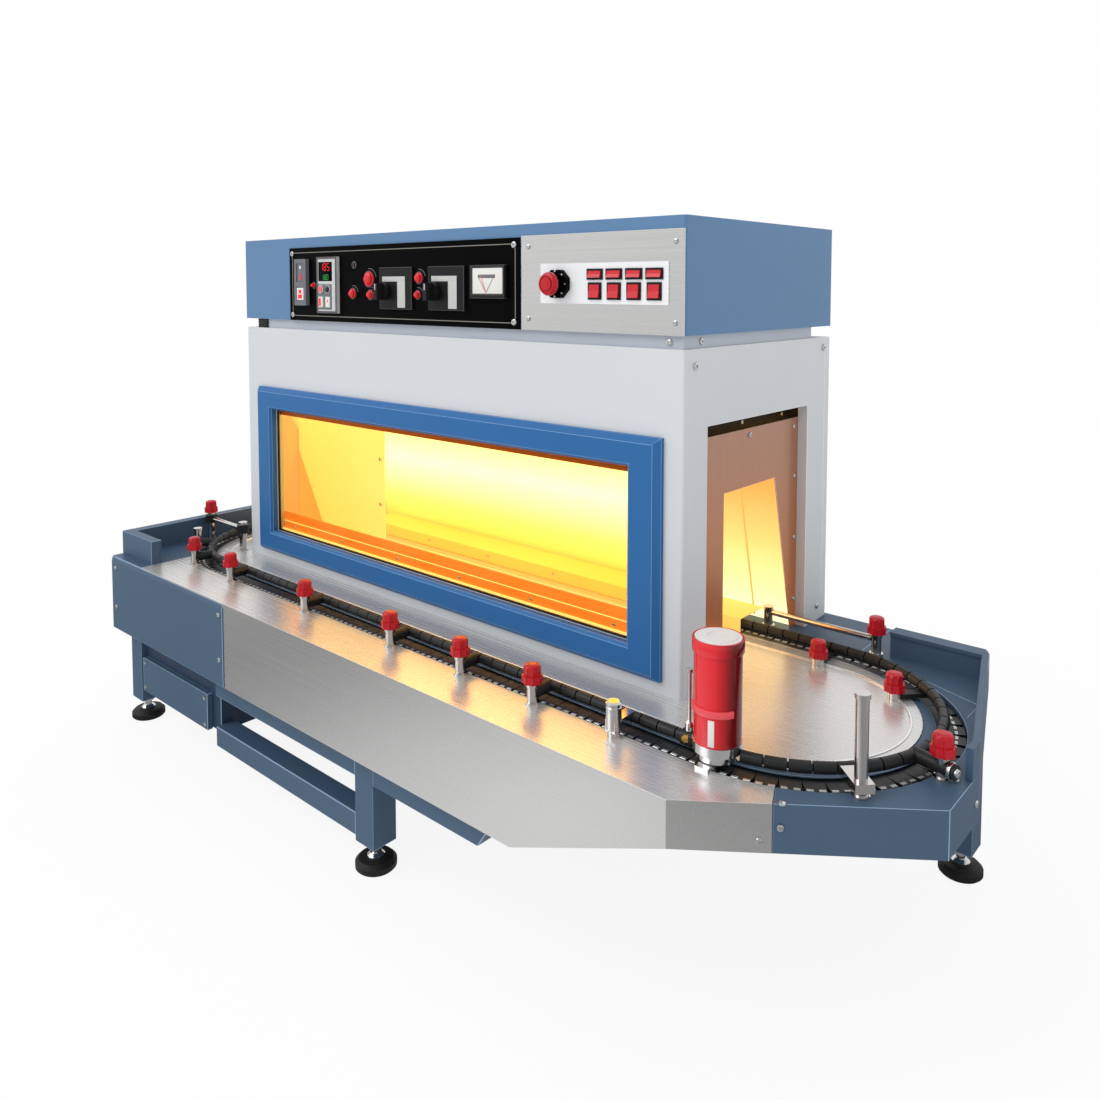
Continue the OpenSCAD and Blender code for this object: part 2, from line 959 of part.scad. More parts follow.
// The oiler's bridge over the slot, its two-tier seat, its cap and its side rod
module oiler_fittings() {
  bridge_w = 26;
  bridge_l = slot_out_r - slot_in_r + 24;
  rod_d = 8;
  rod_seat_z = guide_z + hose_clamp_d / 2;
  rod_h = 112;
  color("silver") {
    translate([oiler_x, oiler_y, 0]) {
      block(
        [-bridge_w / 2, -bridge_l / 2, deck_z],
        [bridge_w / 2, bridge_l / 2, deck_z + oiler_foot_h]
      );
      translate([0, 0, deck_z + oiler_foot_h])
        rotate_extrude()
          polygon([
            [0, 0], [oiler_d / 2 - 8, 0], [oiler_d / 2 - 5, 2], [oiler_d / 2 - 5, oiler_tier_h],
            [oiler_ring_d / 2, oiler_tier_h], [oiler_ring_d / 2, 2 * oiler_tier_h], [0, 2 * oiler_tier_h]
          ]);
      translate([0, 0, oiler_seat_z + oiler_h])
        rotate_extrude()
          polygon([
            [0, 0], [oiler_d / 2, 0], [oiler_d / 2, oiler_cap_h / 2],
            [oiler_d / 2 - 6, oiler_cap_h], [0, oiler_cap_h]
          ]);
    }
    translate([oiler_x - oiler_clear - hose_clamp_l / 2, oiler_y, rod_seat_z])
      rotate_extrude()
        polygon([
          [0, 0], [rod_d, 0], [rod_d, 14], [rod_d / 2, 18], [rod_d / 2, rod_h - 8],
          [rod_d * 0.8, rod_h - 6], [rod_d * 0.8, rod_h], [0, rod_h]
        ]);
  }
}

// Housing

module front_panel() {
  color("gainsboro")
    difference() {
      translate([0, 0, deck_z])
        linear_extrude(housing_h) {
          translate([hx0 + corner_r, hy0])
            square([housing_l - 2 * corner_r, wall_t]);
          translate([hx0, hy0 + corner_r])
            square([housing_l, wall_t - corner_r]);
          for (x = [hx0 + corner_r, hx1 - corner_r])
            translate([x, hy0 + corner_r])
              circle(corner_r);
        }
      block([win_x0, hy0 - eps, win_z0], [win_x0 + window_w, hy0 + wall_t + eps, win_z0 + window_h]);
    }
}

module end_panel(x) {
  color("lightgray")
    difference() {
      block([x, hy0 + wall_t, deck_z], [x + wall_t, hy1 - wall_t, roof_z]);
      block(
        [x - eps, mouth_y0, deck_z - eps],
        [x + wall_t + eps, mouth_y0 + mouth_w, deck_z + mouth_h]
      );
    }
}

module right_end_panel() {
  end_panel(hx1 - wall_t);
}

module left_end_panel() {
  end_panel(hx0);
}

module rear_panel() {
  color("gainsboro")
    block([hx0, hy1 - wall_t, deck_z], [hx1, hy1, roof_z]);
}

module roof_panel() {
  color("gainsboro")
    block([hx0 + wall_t, hy0 + wall_t, roof_z - wall_t], [hx1 - wall_t, hy1 - wall_t, roof_z]);
}

// A mitred bar of the window's frame, drawn along +X with its outer edge at y = 0
module frame_bar(bar_l, bar_w, miter) {
  bevel = frame_proud * 0.6;
  intersection() {
    rotate([90, 0, 90])
      linear_extrude(bar_l)
        polygon([
          [0, 0], [bar_w, 0], [bar_w, frame_proud - bevel / 2], [bar_w - bevel / 2, frame_proud],
          [bevel, frame_proud], [0, frame_proud - bevel]
        ]);
    translate([0, 0, -eps])
      linear_extrude(frame_proud + 2 * eps)
        polygon([[0, 0], [bar_l, 0], [bar_l - miter, bar_w], [miter, bar_w]]);
  }
}

module window_frame() {
  out_w = window_w + 2 * frame_side_w;
  out_h = window_h + 2 * frame_bar_h;
  color("steelblue")
    translate([win_x0 - frame_side_w, hy0, win_z0 - frame_bar_h])
      rotate([90, 0, 0]) {
        frame_bar(out_w, frame_bar_h, frame_side_w);
        translate([out_w, out_h, 0])
          rotate(180)
            frame_bar(out_w, frame_bar_h, frame_side_w);
        translate([0, out_h, 0])
          rotate(-90)
            frame_bar(out_h, frame_side_w, frame_bar_h);
        translate([out_w, 0, 0])
          rotate(90)
            frame_bar(out_h, frame_side_w, frame_bar_h);
      }
}

module window_glass() {
  color("orange", 0.4)
    block(
      [win_x0, hy0 + glass_in, win_z0],
      [win_x0 + window_w, hy0 + glass_in + glass_t, win_z0 + window_h]
    );
}

// The folded sheet inside: a ceiling and a leaning rear wall
module chamber_liner() {
  lean = (slant_low_y - slant_high_y) / (ceiling_z - deck_z);
  color("orange")
    translate([hx0 + wall_t + sheet_t, 0, 0])
      rotate([90, 0, 90])
        linear_extrude(housing_l - 2 * wall_t - 2 * sheet_t)
          polygon([
            [hy0 + wall_t, ceiling_z], [slant_high_y, ceiling_z], [slant_low_y, deck_z],
            [slant_low_y + sheet_t, deck_z], [slant_high_y + sheet_t - lean * sheet_t, ceiling_z + sheet_t],
            [hy0 + wall_t, ceiling_z + sheet_t]
          ]);
}

module window_sill() {
  low = win_z0 - 30;
  high = win_z0 + 27;
  color("darkorange")
    translate([hx0 + wall_t + sheet_t, hy0 + wall_t, 0])
      rotate([90, 0, 90])
        linear_extrude(housing_l - 2 * wall_t - 2 * sheet_t)
          polygon([
            [0, low], [40, low], [40, low + sheet_t], [sheet_t, low + sheet_t], [sheet_t, high], [0, high]
          ]);
}

// The plate inside a mouth, its product opening and the deflector on the opening's front edge
module mouth_liner(inward) {
  lean = (slant_low_y - slant_high_y) / (ceiling_z - deck_z);
  top_y = slant_low_y - slant_in - lean * (slot_top_z - deck_z);
  flap_l = 70;
  difference() {
    block([0, mouth_y0 - liner_over, deck_z], [sheet_t, mouth_y0 + mouth_w + liner_over, liner_top_z]);
    translate([-eps, 0, 0])
      rotate([90, 0, 90])
        linear_extrude(sheet_t + 2 * eps)
          polygon([
            [slot_front_y, deck_z - eps], [slant_low_y - slant_in, deck_z - eps],
            [top_y, slot_top_z], [slot_front_y, slot_top_z]
          ]);
  }
  translate([inward > 0 ? sheet_t : 0, 0, deck_z])
    linear_extrude(slot_top_z - deck_z)
      polygon([
        [0, slot_front_y - sheet_t], [inward * flap_l, slot_front_y - 35 - sheet_t],
        [inward * flap_l, slot_front_y - 35], [0, slot_front_y]
      ]);
}

module mouth_liners() {
  color("orange") {
    translate([hx0 + wall_t, 0, 0])
      mouth_liner(1);
    translate([hx1 - wall_t - sheet_t, 0, 0])
      mouth_liner(-1);
  }
}

// Control box

module rounded_plan(low, high, r) {
  translate([low[0] + r, low[1]])
    square([high[0] - low[0] - 2 * r, high[1] - low[1]]);
  translate([low[0], low[1] + r])
    square([high[0] - low[0], high[1] - low[1] - 2 * r]);
  for (x = [low[0] + r, high[0] - r])
    for (y = [low[1] + r, high[1] - r])
      translate([x, y])
        circle(r);
}

module neck() {
  low = [hx0 + neck_left_in, hy0 + neck_front_in];
  high = [hx1 - neck_front_in, hy1 - neck_rear_in];
  color("silver") {
    translate([0, 0, roof_z])
      linear_extrude(neck_h)
        difference() {
          translate(low)
            square(high - low);
          translate(low + [sheet_t, sheet_t])
            square(high - low - 2 * [sheet_t, sheet_t]);
        }
    translate([0, 0, box_z0])
      linear_extrude(sheet_t)
        rounded_plan([bx0 + sheet_t, by0 + sheet_t], [bx1 - sheet_t, by1 - sheet_t], corner_r);
  }
}

module control_box() {
  color("steelblue")
    translate([0, 0, box_z0])
      difference() {
        linear_extrude(control_h)
          rounded_plan([bx0, by0], [bx1, by1], corner_r + sheet_t);
        translate([0, 0, -eps])
          linear_extrude(control_h - sheet_t + eps)
            rounded_plan([bx0 + sheet_t, by0 + sheet_t], [bx1 - sheet_t, by1 - sheet_t], corner_r);
      }
}

module control_panel() {
  rim = 5;
  color("black")
    difference() {
      block([black_x0, face_y, box_z0], [black_x1, by0, box_z0 + black_h]);
      block(
        [black_x0 + rim, face_y - eps, box_z0 + rim],
        [black_x1 - rim, face_y + 1, box_z0 + black_h - rim]
      );
    }
}

module switch_panel() {
  color("lightgray")
    block([switch_x0, face_y, box_z0], [bx1, by0, box_z0 + switch_h]);
}

module switch_label_plate() {
  color("white")
    block([label_x0, label_y, label_z0], [label_x0 + label_w, face_y, label_z0 + label_h]);
}

module estop_base() {
  color("black")
    translate([estop_x, label_y, estop_z])
      rotate([90, 0, 0])
        difference() {
          union() {
            rotate(22.5)
              cylinder(d = estop_base_w / cos(22.5), h = estop_base_h - 4, $fn = 8);
            cylinder(d = estop_d * 0.8, h = estop_base_h);
          }
          translate([0, 0, -eps])
            cylinder(d = estop_stem_d + 2 * fit_gap, h = estop_base_h + 2 * eps);
        }
}

module estop_head() {
  rest = estop_base_h + estop_gap;
  r = estop_d / 2;
  color("red")
    translate([estop_x, label_y, estop_z])
      rotate([90, 0, 0])
        rotate_extrude()
          polygon([
            [0, estop_travel + 3], [estop_stem_d / 2, estop_travel + 3], [estop_stem_d / 2, rest],
            [r - 5, rest], [r, rest + 4], [r, rest + 9], [r - 3, rest + 14], [r - 7, rest + 16],
            [r - 8, rest + 14], [r - 10, rest + 14], [r - 11, rest + 17], [0, rest + 18]
          ]);
}

// A rocker in its bezel
module rocker(w, h) {
  translate([-w / 2, -2, -h / 2])
    cube([w, 2, h]);
  translate([w / 2 - 3, -2, 0])
    rotate([90, 0, -90])
      linear_extrude(w - 6)
        polygon([[0, h / 2 - 3], [0, -h / 2 + 3], [6, -h / 2 + 3], [3, 0], [2, h / 2 - 3]]);
}

module rocker_switches() {
  color("red")
    for (i = [0 : 3]) {
      translate([rocker_x + i * rocker_step, label_y, rocker_high_z])
        rocker(39, 20);
      translate([rocker_x + i * rocker_step, label_y, rocker_low_z])
        rocker(32, 33);
    }
}

// Instruments on the black panel are measured from the control box's right and lower edges
inst_y = face_y + 1;

module temperature_controller() {
  w = 92;
  h = 155;
  x = bx1 - 1200;
  z = box_z0 + 23;
  t = 10;
  color("gray")
    difference() {
      block([x, inst_y - t, z], [x + w, inst_y, z + h]);
      block([x + 8, inst_y - t - eps, z + 88], [x + w - 20, inst_y - t + 2, z + h - 14]);
    }
  color("gray")
    for (i = [0 : 1]) {
      block([x + 10 + 32 * i, inst_y - t - 2, z + 16], [x + 32 + 32 * i, inst_y - t, z + 46]);
      translate([x + 21 + 32 * i, inst_y - t, z + 66])
        rotate([90, 0, 0])
          cylinder(d = 22, h = 3);
    }
}

module power_module() {
  w = 56;
  h = 131;
  x = bx1 - 1307;
  z = box_z0 + 43;
  t = 12;
  color("dimgray")
    difference() {
      block([x, inst_y - t, z], [x + w, inst_y, z + h]);
      block([x + 9, inst_y - t - eps, z + 13], [x + w - 9, inst_y - t + 3, z + 52]);
      block([x + 9, inst_y - t - eps, z + 66], [x + w - 9, inst_y - t + 3, z + h - 12]);
    }
}

module selector_plates() {
  color("black")
    for (x = selector_xs)
      difference() {
        block(
          [x - selector_w / 2, inst_y - selector_t, selector_z - selector_h / 2],
          [x + selector_w / 2, inst_y, selector_z + selector_h / 2]
        );
        translate([x + handle_dx, inst_y + eps, selector_z + handle_dz])
          rotate([90, 0, 0])
            cylinder(d = shaft_d + 2 * shaft_gap, h = selector_t + 2 * eps);
      }
}

module selector_handle(x) {
  rest = selector_t + running_gap;
  color("black")
    translate([x + handle_dx, inst_y, selector_z + handle_dz])
      rotate([90, 0, 0]) {
        translate([0, 0, 1])
          cylinder(d = shaft_d, h = rest - 1);
        translate([0, 0, rest])
          cylinder(d = selector_d, h = handle_skirt_h);
        translate([-handle_grip_w / 2, -selector_d / 2 + 1, rest + handle_skirt_h])
          cube([handle_grip_w, selector_d - 2, handle_grip_h]);
      }
}

module selector_left() {
  selector_handle(selector_xs[0]);
}

module selector_right() {
  selector_handle(selector_xs[1]);
}

module pilot_lamps() {
  color("red")
    for (l = lamps)
      translate([bx1 + l[0], inst_y, box_z0 + l[1]])
        rotate([90, 0, 0])
          rotate_extrude()
            polygon([
              [0, 0], [l[2] / 2, 0], [l[2] / 2, 4], [l[2] * 0.4, 5], [l[2] * 0.38, 9],
              [l[2] * 0.25, 12], [0, 13]
            ]);
}

module panel_meter() {
  w = 111;
  h = 77;
  x = bx1 - 586;
  z = box_z0 + 69;
  t = 10;
  color("black")
    difference() {
      block([x, inst_y - t, z], [x + w, inst_y, z + h]);
      block([x + 5, inst_y - t - eps, z + 9], [x + w - 5, inst_y - t + 3, z + h - 5]);
    }
}

legs();
foot_pads();
foot_studs();
top_rails();
lower_rails();
drive_housing();
drive_cover();
bed_plate();
front_skirt();
front_left_panel();
left_end_tray();
left_end_wall();
right_end_tray();
rear_guard();
rear_apron();
deck_base();
deck_plate();
chain_links();
chain_slats();
guide_rail();
guide_posts();
guide_clamps();
clamp_knobs();
rear_guide_bar();
oiler_reservoir();
oiler_fittings();
front_panel();
right_end_panel();
left_end_panel();
rear_panel();
roof_panel();
window_frame();
window_glass();
chamber_liner();
window_sill();
mouth_liners();
neck();
control_box();
control_panel();
switch_panel();
switch_label_plate();
estop_base();
estop_head();
rocker_switches();
temperature_controller();
power_module();
selector_plates();
selector_left();
selector_right();
pilot_lamps();
panel_meter();
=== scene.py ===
import json
import math

import bpy
from mathutils import Matrix, Vector

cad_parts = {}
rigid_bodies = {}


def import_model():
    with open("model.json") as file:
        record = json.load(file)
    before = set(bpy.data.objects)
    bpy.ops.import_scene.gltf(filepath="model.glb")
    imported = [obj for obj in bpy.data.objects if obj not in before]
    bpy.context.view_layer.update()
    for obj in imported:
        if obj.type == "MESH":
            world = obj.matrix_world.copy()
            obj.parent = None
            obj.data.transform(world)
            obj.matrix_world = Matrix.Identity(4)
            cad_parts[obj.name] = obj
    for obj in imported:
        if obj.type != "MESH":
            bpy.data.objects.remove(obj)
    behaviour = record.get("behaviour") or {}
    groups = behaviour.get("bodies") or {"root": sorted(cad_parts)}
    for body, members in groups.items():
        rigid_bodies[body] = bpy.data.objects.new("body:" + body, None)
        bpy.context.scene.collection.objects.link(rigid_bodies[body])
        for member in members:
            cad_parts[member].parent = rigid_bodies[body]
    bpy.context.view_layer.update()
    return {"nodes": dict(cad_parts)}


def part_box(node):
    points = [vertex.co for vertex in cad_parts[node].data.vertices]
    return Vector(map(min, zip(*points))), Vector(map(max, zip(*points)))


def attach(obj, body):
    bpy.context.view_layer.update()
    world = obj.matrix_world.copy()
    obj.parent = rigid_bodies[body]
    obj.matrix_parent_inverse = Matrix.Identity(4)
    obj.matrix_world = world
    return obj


bpy.ops.object.select_all(action="SELECT")
bpy.ops.object.delete()
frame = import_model()
nodes = frame["nodes"]

# Studio. A white room with a plain floor, soft light from all sides and one broad lamp
# from the front left, as for a catalogue picture. The camera stands at the front right.
scene = bpy.context.scene
scene.view_settings.view_transform = "Standard"
camera = bpy.data.objects.new("camera", bpy.data.cameras.new("camera"))
scene.collection.objects.link(camera)
camera.location = (1.649, -1.687, 1.323)
camera.rotation_euler = (math.radians(86.626), 0.0, math.radians(41.509))
camera.data.sensor_width = 36.0
camera.data.lens = 30.13
camera.data.shift_x = 0.0027
camera.data.shift_y = -0.190
scene.camera = camera


def link(tree, source, target):
    """Feeds a socket from another one, or sets it to a plain number or colour."""
    if isinstance(source, bpy.types.NodeSocket):
        tree.links.new(source, target)
    else:
        target.default_value = source


def reckoned(tree, operation, first, second, held=False):
    """Two values put together, held between 0 and 1 if asked."""
    step = tree.nodes.new("ShaderNodeMath")
    step.operation = operation
    step.use_clamp = held
    link(tree, first, step.inputs[0])
    link(tree, second, step.inputs[1])
    return step.outputs[0]


def seen_directly(tree):
    """1 for rays that show the background: from the camera, off metal and through glass."""
    ray = tree.nodes.new("ShaderNodeLightPath")
    first = reckoned(tree, "MAXIMUM", ray.outputs["Is Camera Ray"], ray.outputs["Is Glossy Ray"])
    return reckoned(tree, "MAXIMUM", first, ray.outputs["Is Transmission Ray"])


def ranged(tree, value, low, high, start=0.0, end=1.0):
    """A value from start to end spread between two others."""
    spread = tree.nodes.new("ShaderNodeMapRange")
    for socket, number in (("From Min", start), ("From Max", end), ("To Min", low), ("To Max", high)):
        link(tree, number, spread.inputs[socket])
    link(tree, value, spread.inputs["Value"])
    return spread.outputs["Result"]


def measured(tree, operation, place, against):
    """A place's distance from a point, or how far it lies along a direction."""
    step = tree.nodes.new("ShaderNodeVectorMath")
    step.operation = operation
    step.inputs[1].default_value = against
    link(tree, place, step.inputs[0])
    return step.outputs["Value"]


def show(tree, kind, share, lighting, shown):
    """Ends a tree with two shaders: one that gives light and, by a share, one that is seen."""
    mix = tree.nodes.new("ShaderNodeMixShader")
    for socket, source in zip(mix.inputs, (share, lighting.outputs[0], shown.outputs[0])):
        link(tree, source, socket)
    link(tree, mix.outputs[0], tree.nodes.new(kind).inputs["Surface"])


world = bpy.data.worlds.new("white_room")
scene.world = world
world.use_nodes = True
tree = world.node_tree
tree.nodes.clear()
white = (1.0, 1.0, 1.0, 1.0)
room_light = tree.nodes.new("ShaderNodeBackground")
room_light.inputs["Color"].default_value = white
room_light.inputs["Strength"].default_value = 0.82
room_white = tree.nodes.new("ShaderNodeBackground")
room_white.inputs["Color"].default_value = white
# Metal shows the room greyer toward the front right, where no white screen stands
room_place = tree.nodes.new("ShaderNodeTexCoord").outputs["Generated"]
front_right = measured(tree, "DOT_PRODUCT", room_place, (0.7, -0.7, 0.0))
off_metal = tree.nodes.new("ShaderNodeLightPath").outputs["Is Glossy Ray"]
dimmer = ranged(tree, off_metal, 1.0, ranged(tree, front_right, 1.0, 0.4, -0.3, 1.0))
link(tree, dimmer, room_white.inputs["Strength"])
show(tree, "ShaderNodeOutputWorld", seen_directly(tree), room_light, room_white)


def mixed(tree, share, first, second):
    """A colour between two others."""
    mix = tree.nodes.new("ShaderNodeMix")
    mix.data_type = "RGBA"
    link(tree, share, mix.inputs[0])
    link(tree, first, mix.inputs[6])
    link(tree, second, mix.inputs[7])
    return mix.outputs[2]


bpy.ops.object.select_all(action="DESELECT")
bpy.ops.mesh.primitive_plane_add(size=60.0, location=(0.0, 0.0, 0.0))
floor = bpy.context.object
floor.name = "floor"
floor_white = bpy.data.materials.new("floor_white")
floor_white.use_nodes = True
tree = floor_white.node_tree
tree.nodes.clear()
matt = tree.nodes.new("ShaderNodeBsdfDiffuse")
matt.inputs["Color"].default_value = (0.96, 0.96, 0.96, 1.0)
glow = tree.nodes.new("ShaderNodeEmission")
# Metal shows the floor bright in front of the machine and greyer farther out, past the lamp's reach
floor_place = tree.nodes.new("ShaderNodeTexCoord").outputs["Object"]
from_lamp = measured(tree, "DISTANCE", floor_place, (0.2, -1.0, 0.0))
lamp_reach = 4.0
falloff = tree.nodes.new("ShaderNodeValToRGB")
for position, level in ((0.16, 0.66), (0.26, 0.42), (0.36, 0.28), (0.6, 0.3)):
    falloff.color_ramp.elements.new(position).color = (level, level, level, 1.0)
falloff.color_ramp.elements[0].color = (0.95, 0.95, 0.95, 1.0)
falloff.color_ramp.elements[-1].color = (0.72, 0.72, 0.72, 1.0)
link(tree, ranged(tree, from_lamp, 0.0, 1.0, 0.0, lamp_reach), falloff.inputs["Fac"])
ray = tree.nodes.new("ShaderNodeLightPath")
off_metal = reckoned(tree, "SUBTRACT", ray.outputs["Is Glossy Ray"], ray.outputs["Is Transmission Ray"], True)
link(tree, mixed(tree, off_metal, white, falloff.outputs["Color"]), glow.inputs["Color"])
glow_share = reckoned(tree, "MULTIPLY", seen_directly(tree), 0.9)
show(tree, "ShaderNodeOutputMaterial", glow_share, matt, glow)
floor.data.materials.append(floor_white)

lamp = bpy.data.objects.new("broad_lamp", bpy.data.lights.new("broad_lamp", "SUN"))
scene.collection.objects.link(lamp)
lamp.data.energy = 0.95
lamp.data.angle = math.radians(40)
lamp.rotation_euler = Vector((0.45, 0.75, -0.75)).to_track_quat("-Z", "Y").to_euler()

# Steel frame. Square legs, rails and stretcher welded from tube and sprayed slate blue in a
# satin finish; the lighter blue on their rounded corners is a painted highlight.


def linear(hex_colour):
    """A screen colour as the linear values that a shader takes."""
    parts = [int(hex_colour[i:i + 2], 16) / 255 for i in (0, 2, 4)]
    return [p / 12.92 if p <= 0.04045 else ((p + 0.055) / 1.055) ** 2.4 for p in parts] + [1.0]


def new_material(name):
    """A material with its tree, its shader and its object coordinates."""
    material = bpy.data.materials.new(name)
    material.use_nodes = True
    tree = material.node_tree
    place = tree.nodes.new("ShaderNodeTexCoord").outputs["Object"]
    return material, tree, tree.nodes["Principled BSDF"], place


def new_group(name):
    """A shader node group that makes a cloud, a roughness and a height from a place."""
    group = bpy.data.node_groups.new(name, "ShaderNodeTree")
    group.interface.new_socket(name="Place", in_out="INPUT", socket_type="NodeSocketVector")
    for socket in ("Cloud", "Roughness", "Height"):
        group.interface.new_socket(name=socket, in_out="OUTPUT", socket_type="NodeSocketFloat")
    return group, group.nodes.new("NodeGroupInput"), group.nodes.new("NodeGroupOutput")


def noise(tree, place, scale, detail=3.0):
    """Fine or broad unevenness over a place."""
    texture = tree.nodes.new("ShaderNodeTexNoise")
    texture.inputs["Scale"].default_value = scale
    texture.inputs["Detail"].default_value = detail
    link(tree, place, texture.inputs["Vector"])
    return texture.outputs["Fac"]


def tinted(tree, colour, value, amount):
    """A colour that gets lighter and darker by an amount as the value goes from 0 to 1."""
    shade = tree.nodes.new("ShaderNodeHueSaturation")
    link(tree, colour, shade.inputs["Color"])
    link(tree, ranged(tree, value, 1.0 - amount, 1.0 + amount), shade.inputs["Value"])
    return shade.outputs["Color"]


def embossed(tree, shader, height, strength, distance):
    """Gives a shader the relief of a height."""
    bump = tree.nodes.new("ShaderNodeBump")
    bump.inputs["Strength"].default_value = strength
    bump.inputs["Distance"].default_value = distance
    link(tree, height, bump.inputs["Height"])
    link(tree, bump.outputs["Normal"], shader.inputs["Normal"])


# Sprayed paint: cloudy colour, uneven gloss and the fine orange peel of a satin coat
paint_film, entry, leave = new_group("paint_film")
spot = entry.outputs["Place"]
link(paint_film, noise(paint_film, spot, 3.5, 4.0), leave.inputs["Cloud"])
link(paint_film, ranged(paint_film, noise(paint_film, spot, 14.0), 0.36, 0.52), leave.inputs["Roughness"])
link(paint_film, noise(paint_film, spot, 420.0, 2.0), leave.inputs["Height"])


def painted(name, colour, cloudiness=0.06, peel_depth=0.05, gloss=0.25):
    """A satin paint in one colour."""
    material, tree, shader, place = new_material(name)
    film = tree.nodes.new("ShaderNodeGroup")
    film.node_tree = paint_film
    link(tree, place, film.inputs["Place"])
    link(tree, tinted(tree, linear(colour), film.outputs["Cloud"], cloudiness), shader.inputs["Base Color"])
    link(tree, film.outputs["Roughness"], shader.inputs["Roughness"])
    embossed(tree, shader, film.outputs["Height"], peel_depth, 0.001)
    shader.inputs["Specular IOR Level"].default_value = gloss
    return material


def dress(names, *materials, edge=0.0):
    """Gives CAD nodes their finish, with rounded edges in the last of the materials: a lighter one, as a
    painted highlight.
    """
    for name in names:
        node = nodes[name]
        node.data.materials.clear()
        for material in materials:
            node.data.materials.append(material)
        if edge:
            weld = node.modifiers.new("weld", "WELD")
            weld.merge_threshold = 0.00002
            soft = node.modifiers.new("edge", "BEVEL")
            soft.width = edge
            soft.segments = 2
            soft.limit_method = "ANGLE"
            soft.angle_limit = math.radians(40)
            soft.material = len(materials) - 1


slate_blue = painted("slate_blue", "475E76")
# The rounded edges take a lighter blue: a painted highlight.
slate_highlight = painted("slate_highlight", "8FA8C4")
dress(["legs", "top_rails", "lower_rails"], slate_blue, slate_highlight, edge=0.002)

# Feet. Moulded black rubber pads, each pressed on a chromed levelling stud that screws into
# its leg and is held by a lock nut.


def moulded(name, colour, smooth=0.28, dull=0.5, gloss=0.3, unevenness=0.15):
    """A moulded rubber or plastic with a faintly uneven skin."""
    material, tree, shader, place = new_material(name)
    skin = tinted(tree, linear(colour), noise(tree, place, 45.0), unevenness)
    link(tree, skin, shader.inputs["Base Color"])
    link(tree, ranged(tree, noise(tree, place, 80.0), smooth, dull), shader.inputs["Roughness"])
    embossed(tree, shader, noise(tree, place, 900.0, 2.0), 0.06, 0.0005)
    shader.inputs["Specular IOR Level"].default_value = gloss
    return material


pad_rubber = moulded("pad_rubber", "1A1A1B", 0.45, 0.7)
dress(["foot_pads"], pad_rubber)


def plated(name, colour, smooth=0.08, dull=0.2):
    """Bright plated metal with fine wiping marks."""
    material, tree, shader, place = new_material(name)
    link(tree, tinted(tree, linear(colour), noise(tree, place, 30.0), 0.06), shader.inputs["Base Color"])
    link(tree, ranged(tree, noise(tree, place, 120.0), smooth, dull), shader.inputs["Roughness"])
    shader.inputs["Metallic"].default_value = 1.0
    return material


bright_chrome = plated("bright_chrome", "D4D5D6")
dress(["foot_studs"], bright_chrome)

# Drive. The geared motor's closed sheet box under the left end, in a darker blue that is
# painted shade, with a slate blue cover held to its front by four button-head screws.


def start_piece(add, name, **sizes):
    """Adds a primitive alone, with its size and place in its mesh."""
    bpy.ops.object.select_all(action="DESELECT")
    add(**sizes)
    bpy.ops.object.transform_apply(location=True, rotation=True, scale=True)
    piece = bpy.context.object
    piece.name = name
    return piece


def choose_faces(piece, wanted):
    """Goes into edit mode with only the faces selected that a test of their normal picks."""
    bpy.ops.object.mode_set(mode="OBJECT")
    bpy.context.tool_settings.mesh_select_mode = (False, False, True)
    for flags in (piece.data.vertices, piece.data.edges):
        flags.foreach_set("select", [False] * len(flags))
    picked = [wanted(face.normal) for face in piece.data.polygons]
    piece.data.polygons.foreach_set("select", picked)
    bpy.ops.object.mode_set(mode="EDIT")


def soften(piece, wanted, width, steps=2):
    """Rounds the edges of the faces that a test of their normal picks."""
    choose_faces(piece, wanted)
    bpy.ops.mesh.bevel(offset=width, segments=steps, affect="EDGES")
    bpy.ops.object.mode_set(mode="OBJECT")


def sink(piece, wanted, *steps):
    """Leaves a margin round the faces that a test picks and moves what is inside it, step by step."""
    choose_faces(piece, wanted)
    for margin, shift in steps:
        bpy.ops.mesh.inset(thickness=margin)
        bpy.ops.mesh.extrude_region_move(TRANSFORM_OT_translate={"value": shift})
    bpy.ops.object.mode_set(mode="OBJECT")


def finish_piece(piece, material, body="machine"):
    """Smooths a piece, gives it its material and fixes it to a body."""
    bpy.ops.object.select_all(action="DESELECT")
    piece.select_set(True)
    bpy.context.view_layer.objects.active = piece
    bpy.ops.object.shade_smooth_by_angle(angle=math.radians(35))
    piece.data.materials.clear()
    piece.data.materials.append(material)
    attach(piece, body)


def join_pieces(pieces):
    """Makes one piece of several, under the first one's name."""
    bpy.ops.object.select_all(action="DESELECT")
    for piece in pieces:
        piece.select_set(True)
    bpy.context.view_layer.objects.active = pieces[0]
    bpy.ops.object.join()
    return pieces[0]


def repeat(first, places):
    """Copies a model to each place, each copy with its own mesh, and joins the copies."""
    made = []
    for place in places:
        copy = bpy.data.objects.new(first.name, first.data.copy())
        copy.data.transform(place)
        scene.collection.objects.link(copy)
        made.append(copy)
    name = first.name
    bpy.data.objects.remove(first)
    whole = join_pieces(made)
    whole.name = name
    return whole


to_front, to_rear = (0, -1, 0), (0, 1, 0)
to_left, to_right, upward = (-1, 0, 0), (1, 0, 0), (0, 0, 1)


def standing(point, out=to_front):
    """The place of a model that stands on a point and faces outward."""
    return Matrix.Translation(point) @ Vector(out).to_track_quat("Z", "Y").to_matrix().to_4x4()


def button_screws(name, radius, spots):
    """Button-head screws with sockets, each on a point with its outward direction."""
    head = start_piece(
        bpy.ops.mesh.primitive_cylinder_add, name,
        vertices=18, radius=radius, depth=0.6 * radius, location=(0.0, 0.0, 0.3 * radius),
    )
    soften(head, lambda normal: normal.z > 0.9, 0.4 * radius)
    sink(head, lambda normal: normal.z > 0.99, (0.15 * radius, (0.0, 0.0, -0.25 * radius)))
    finish_piece(repeat(head, [standing(point, out) for point, out in spots]), bright_chrome)


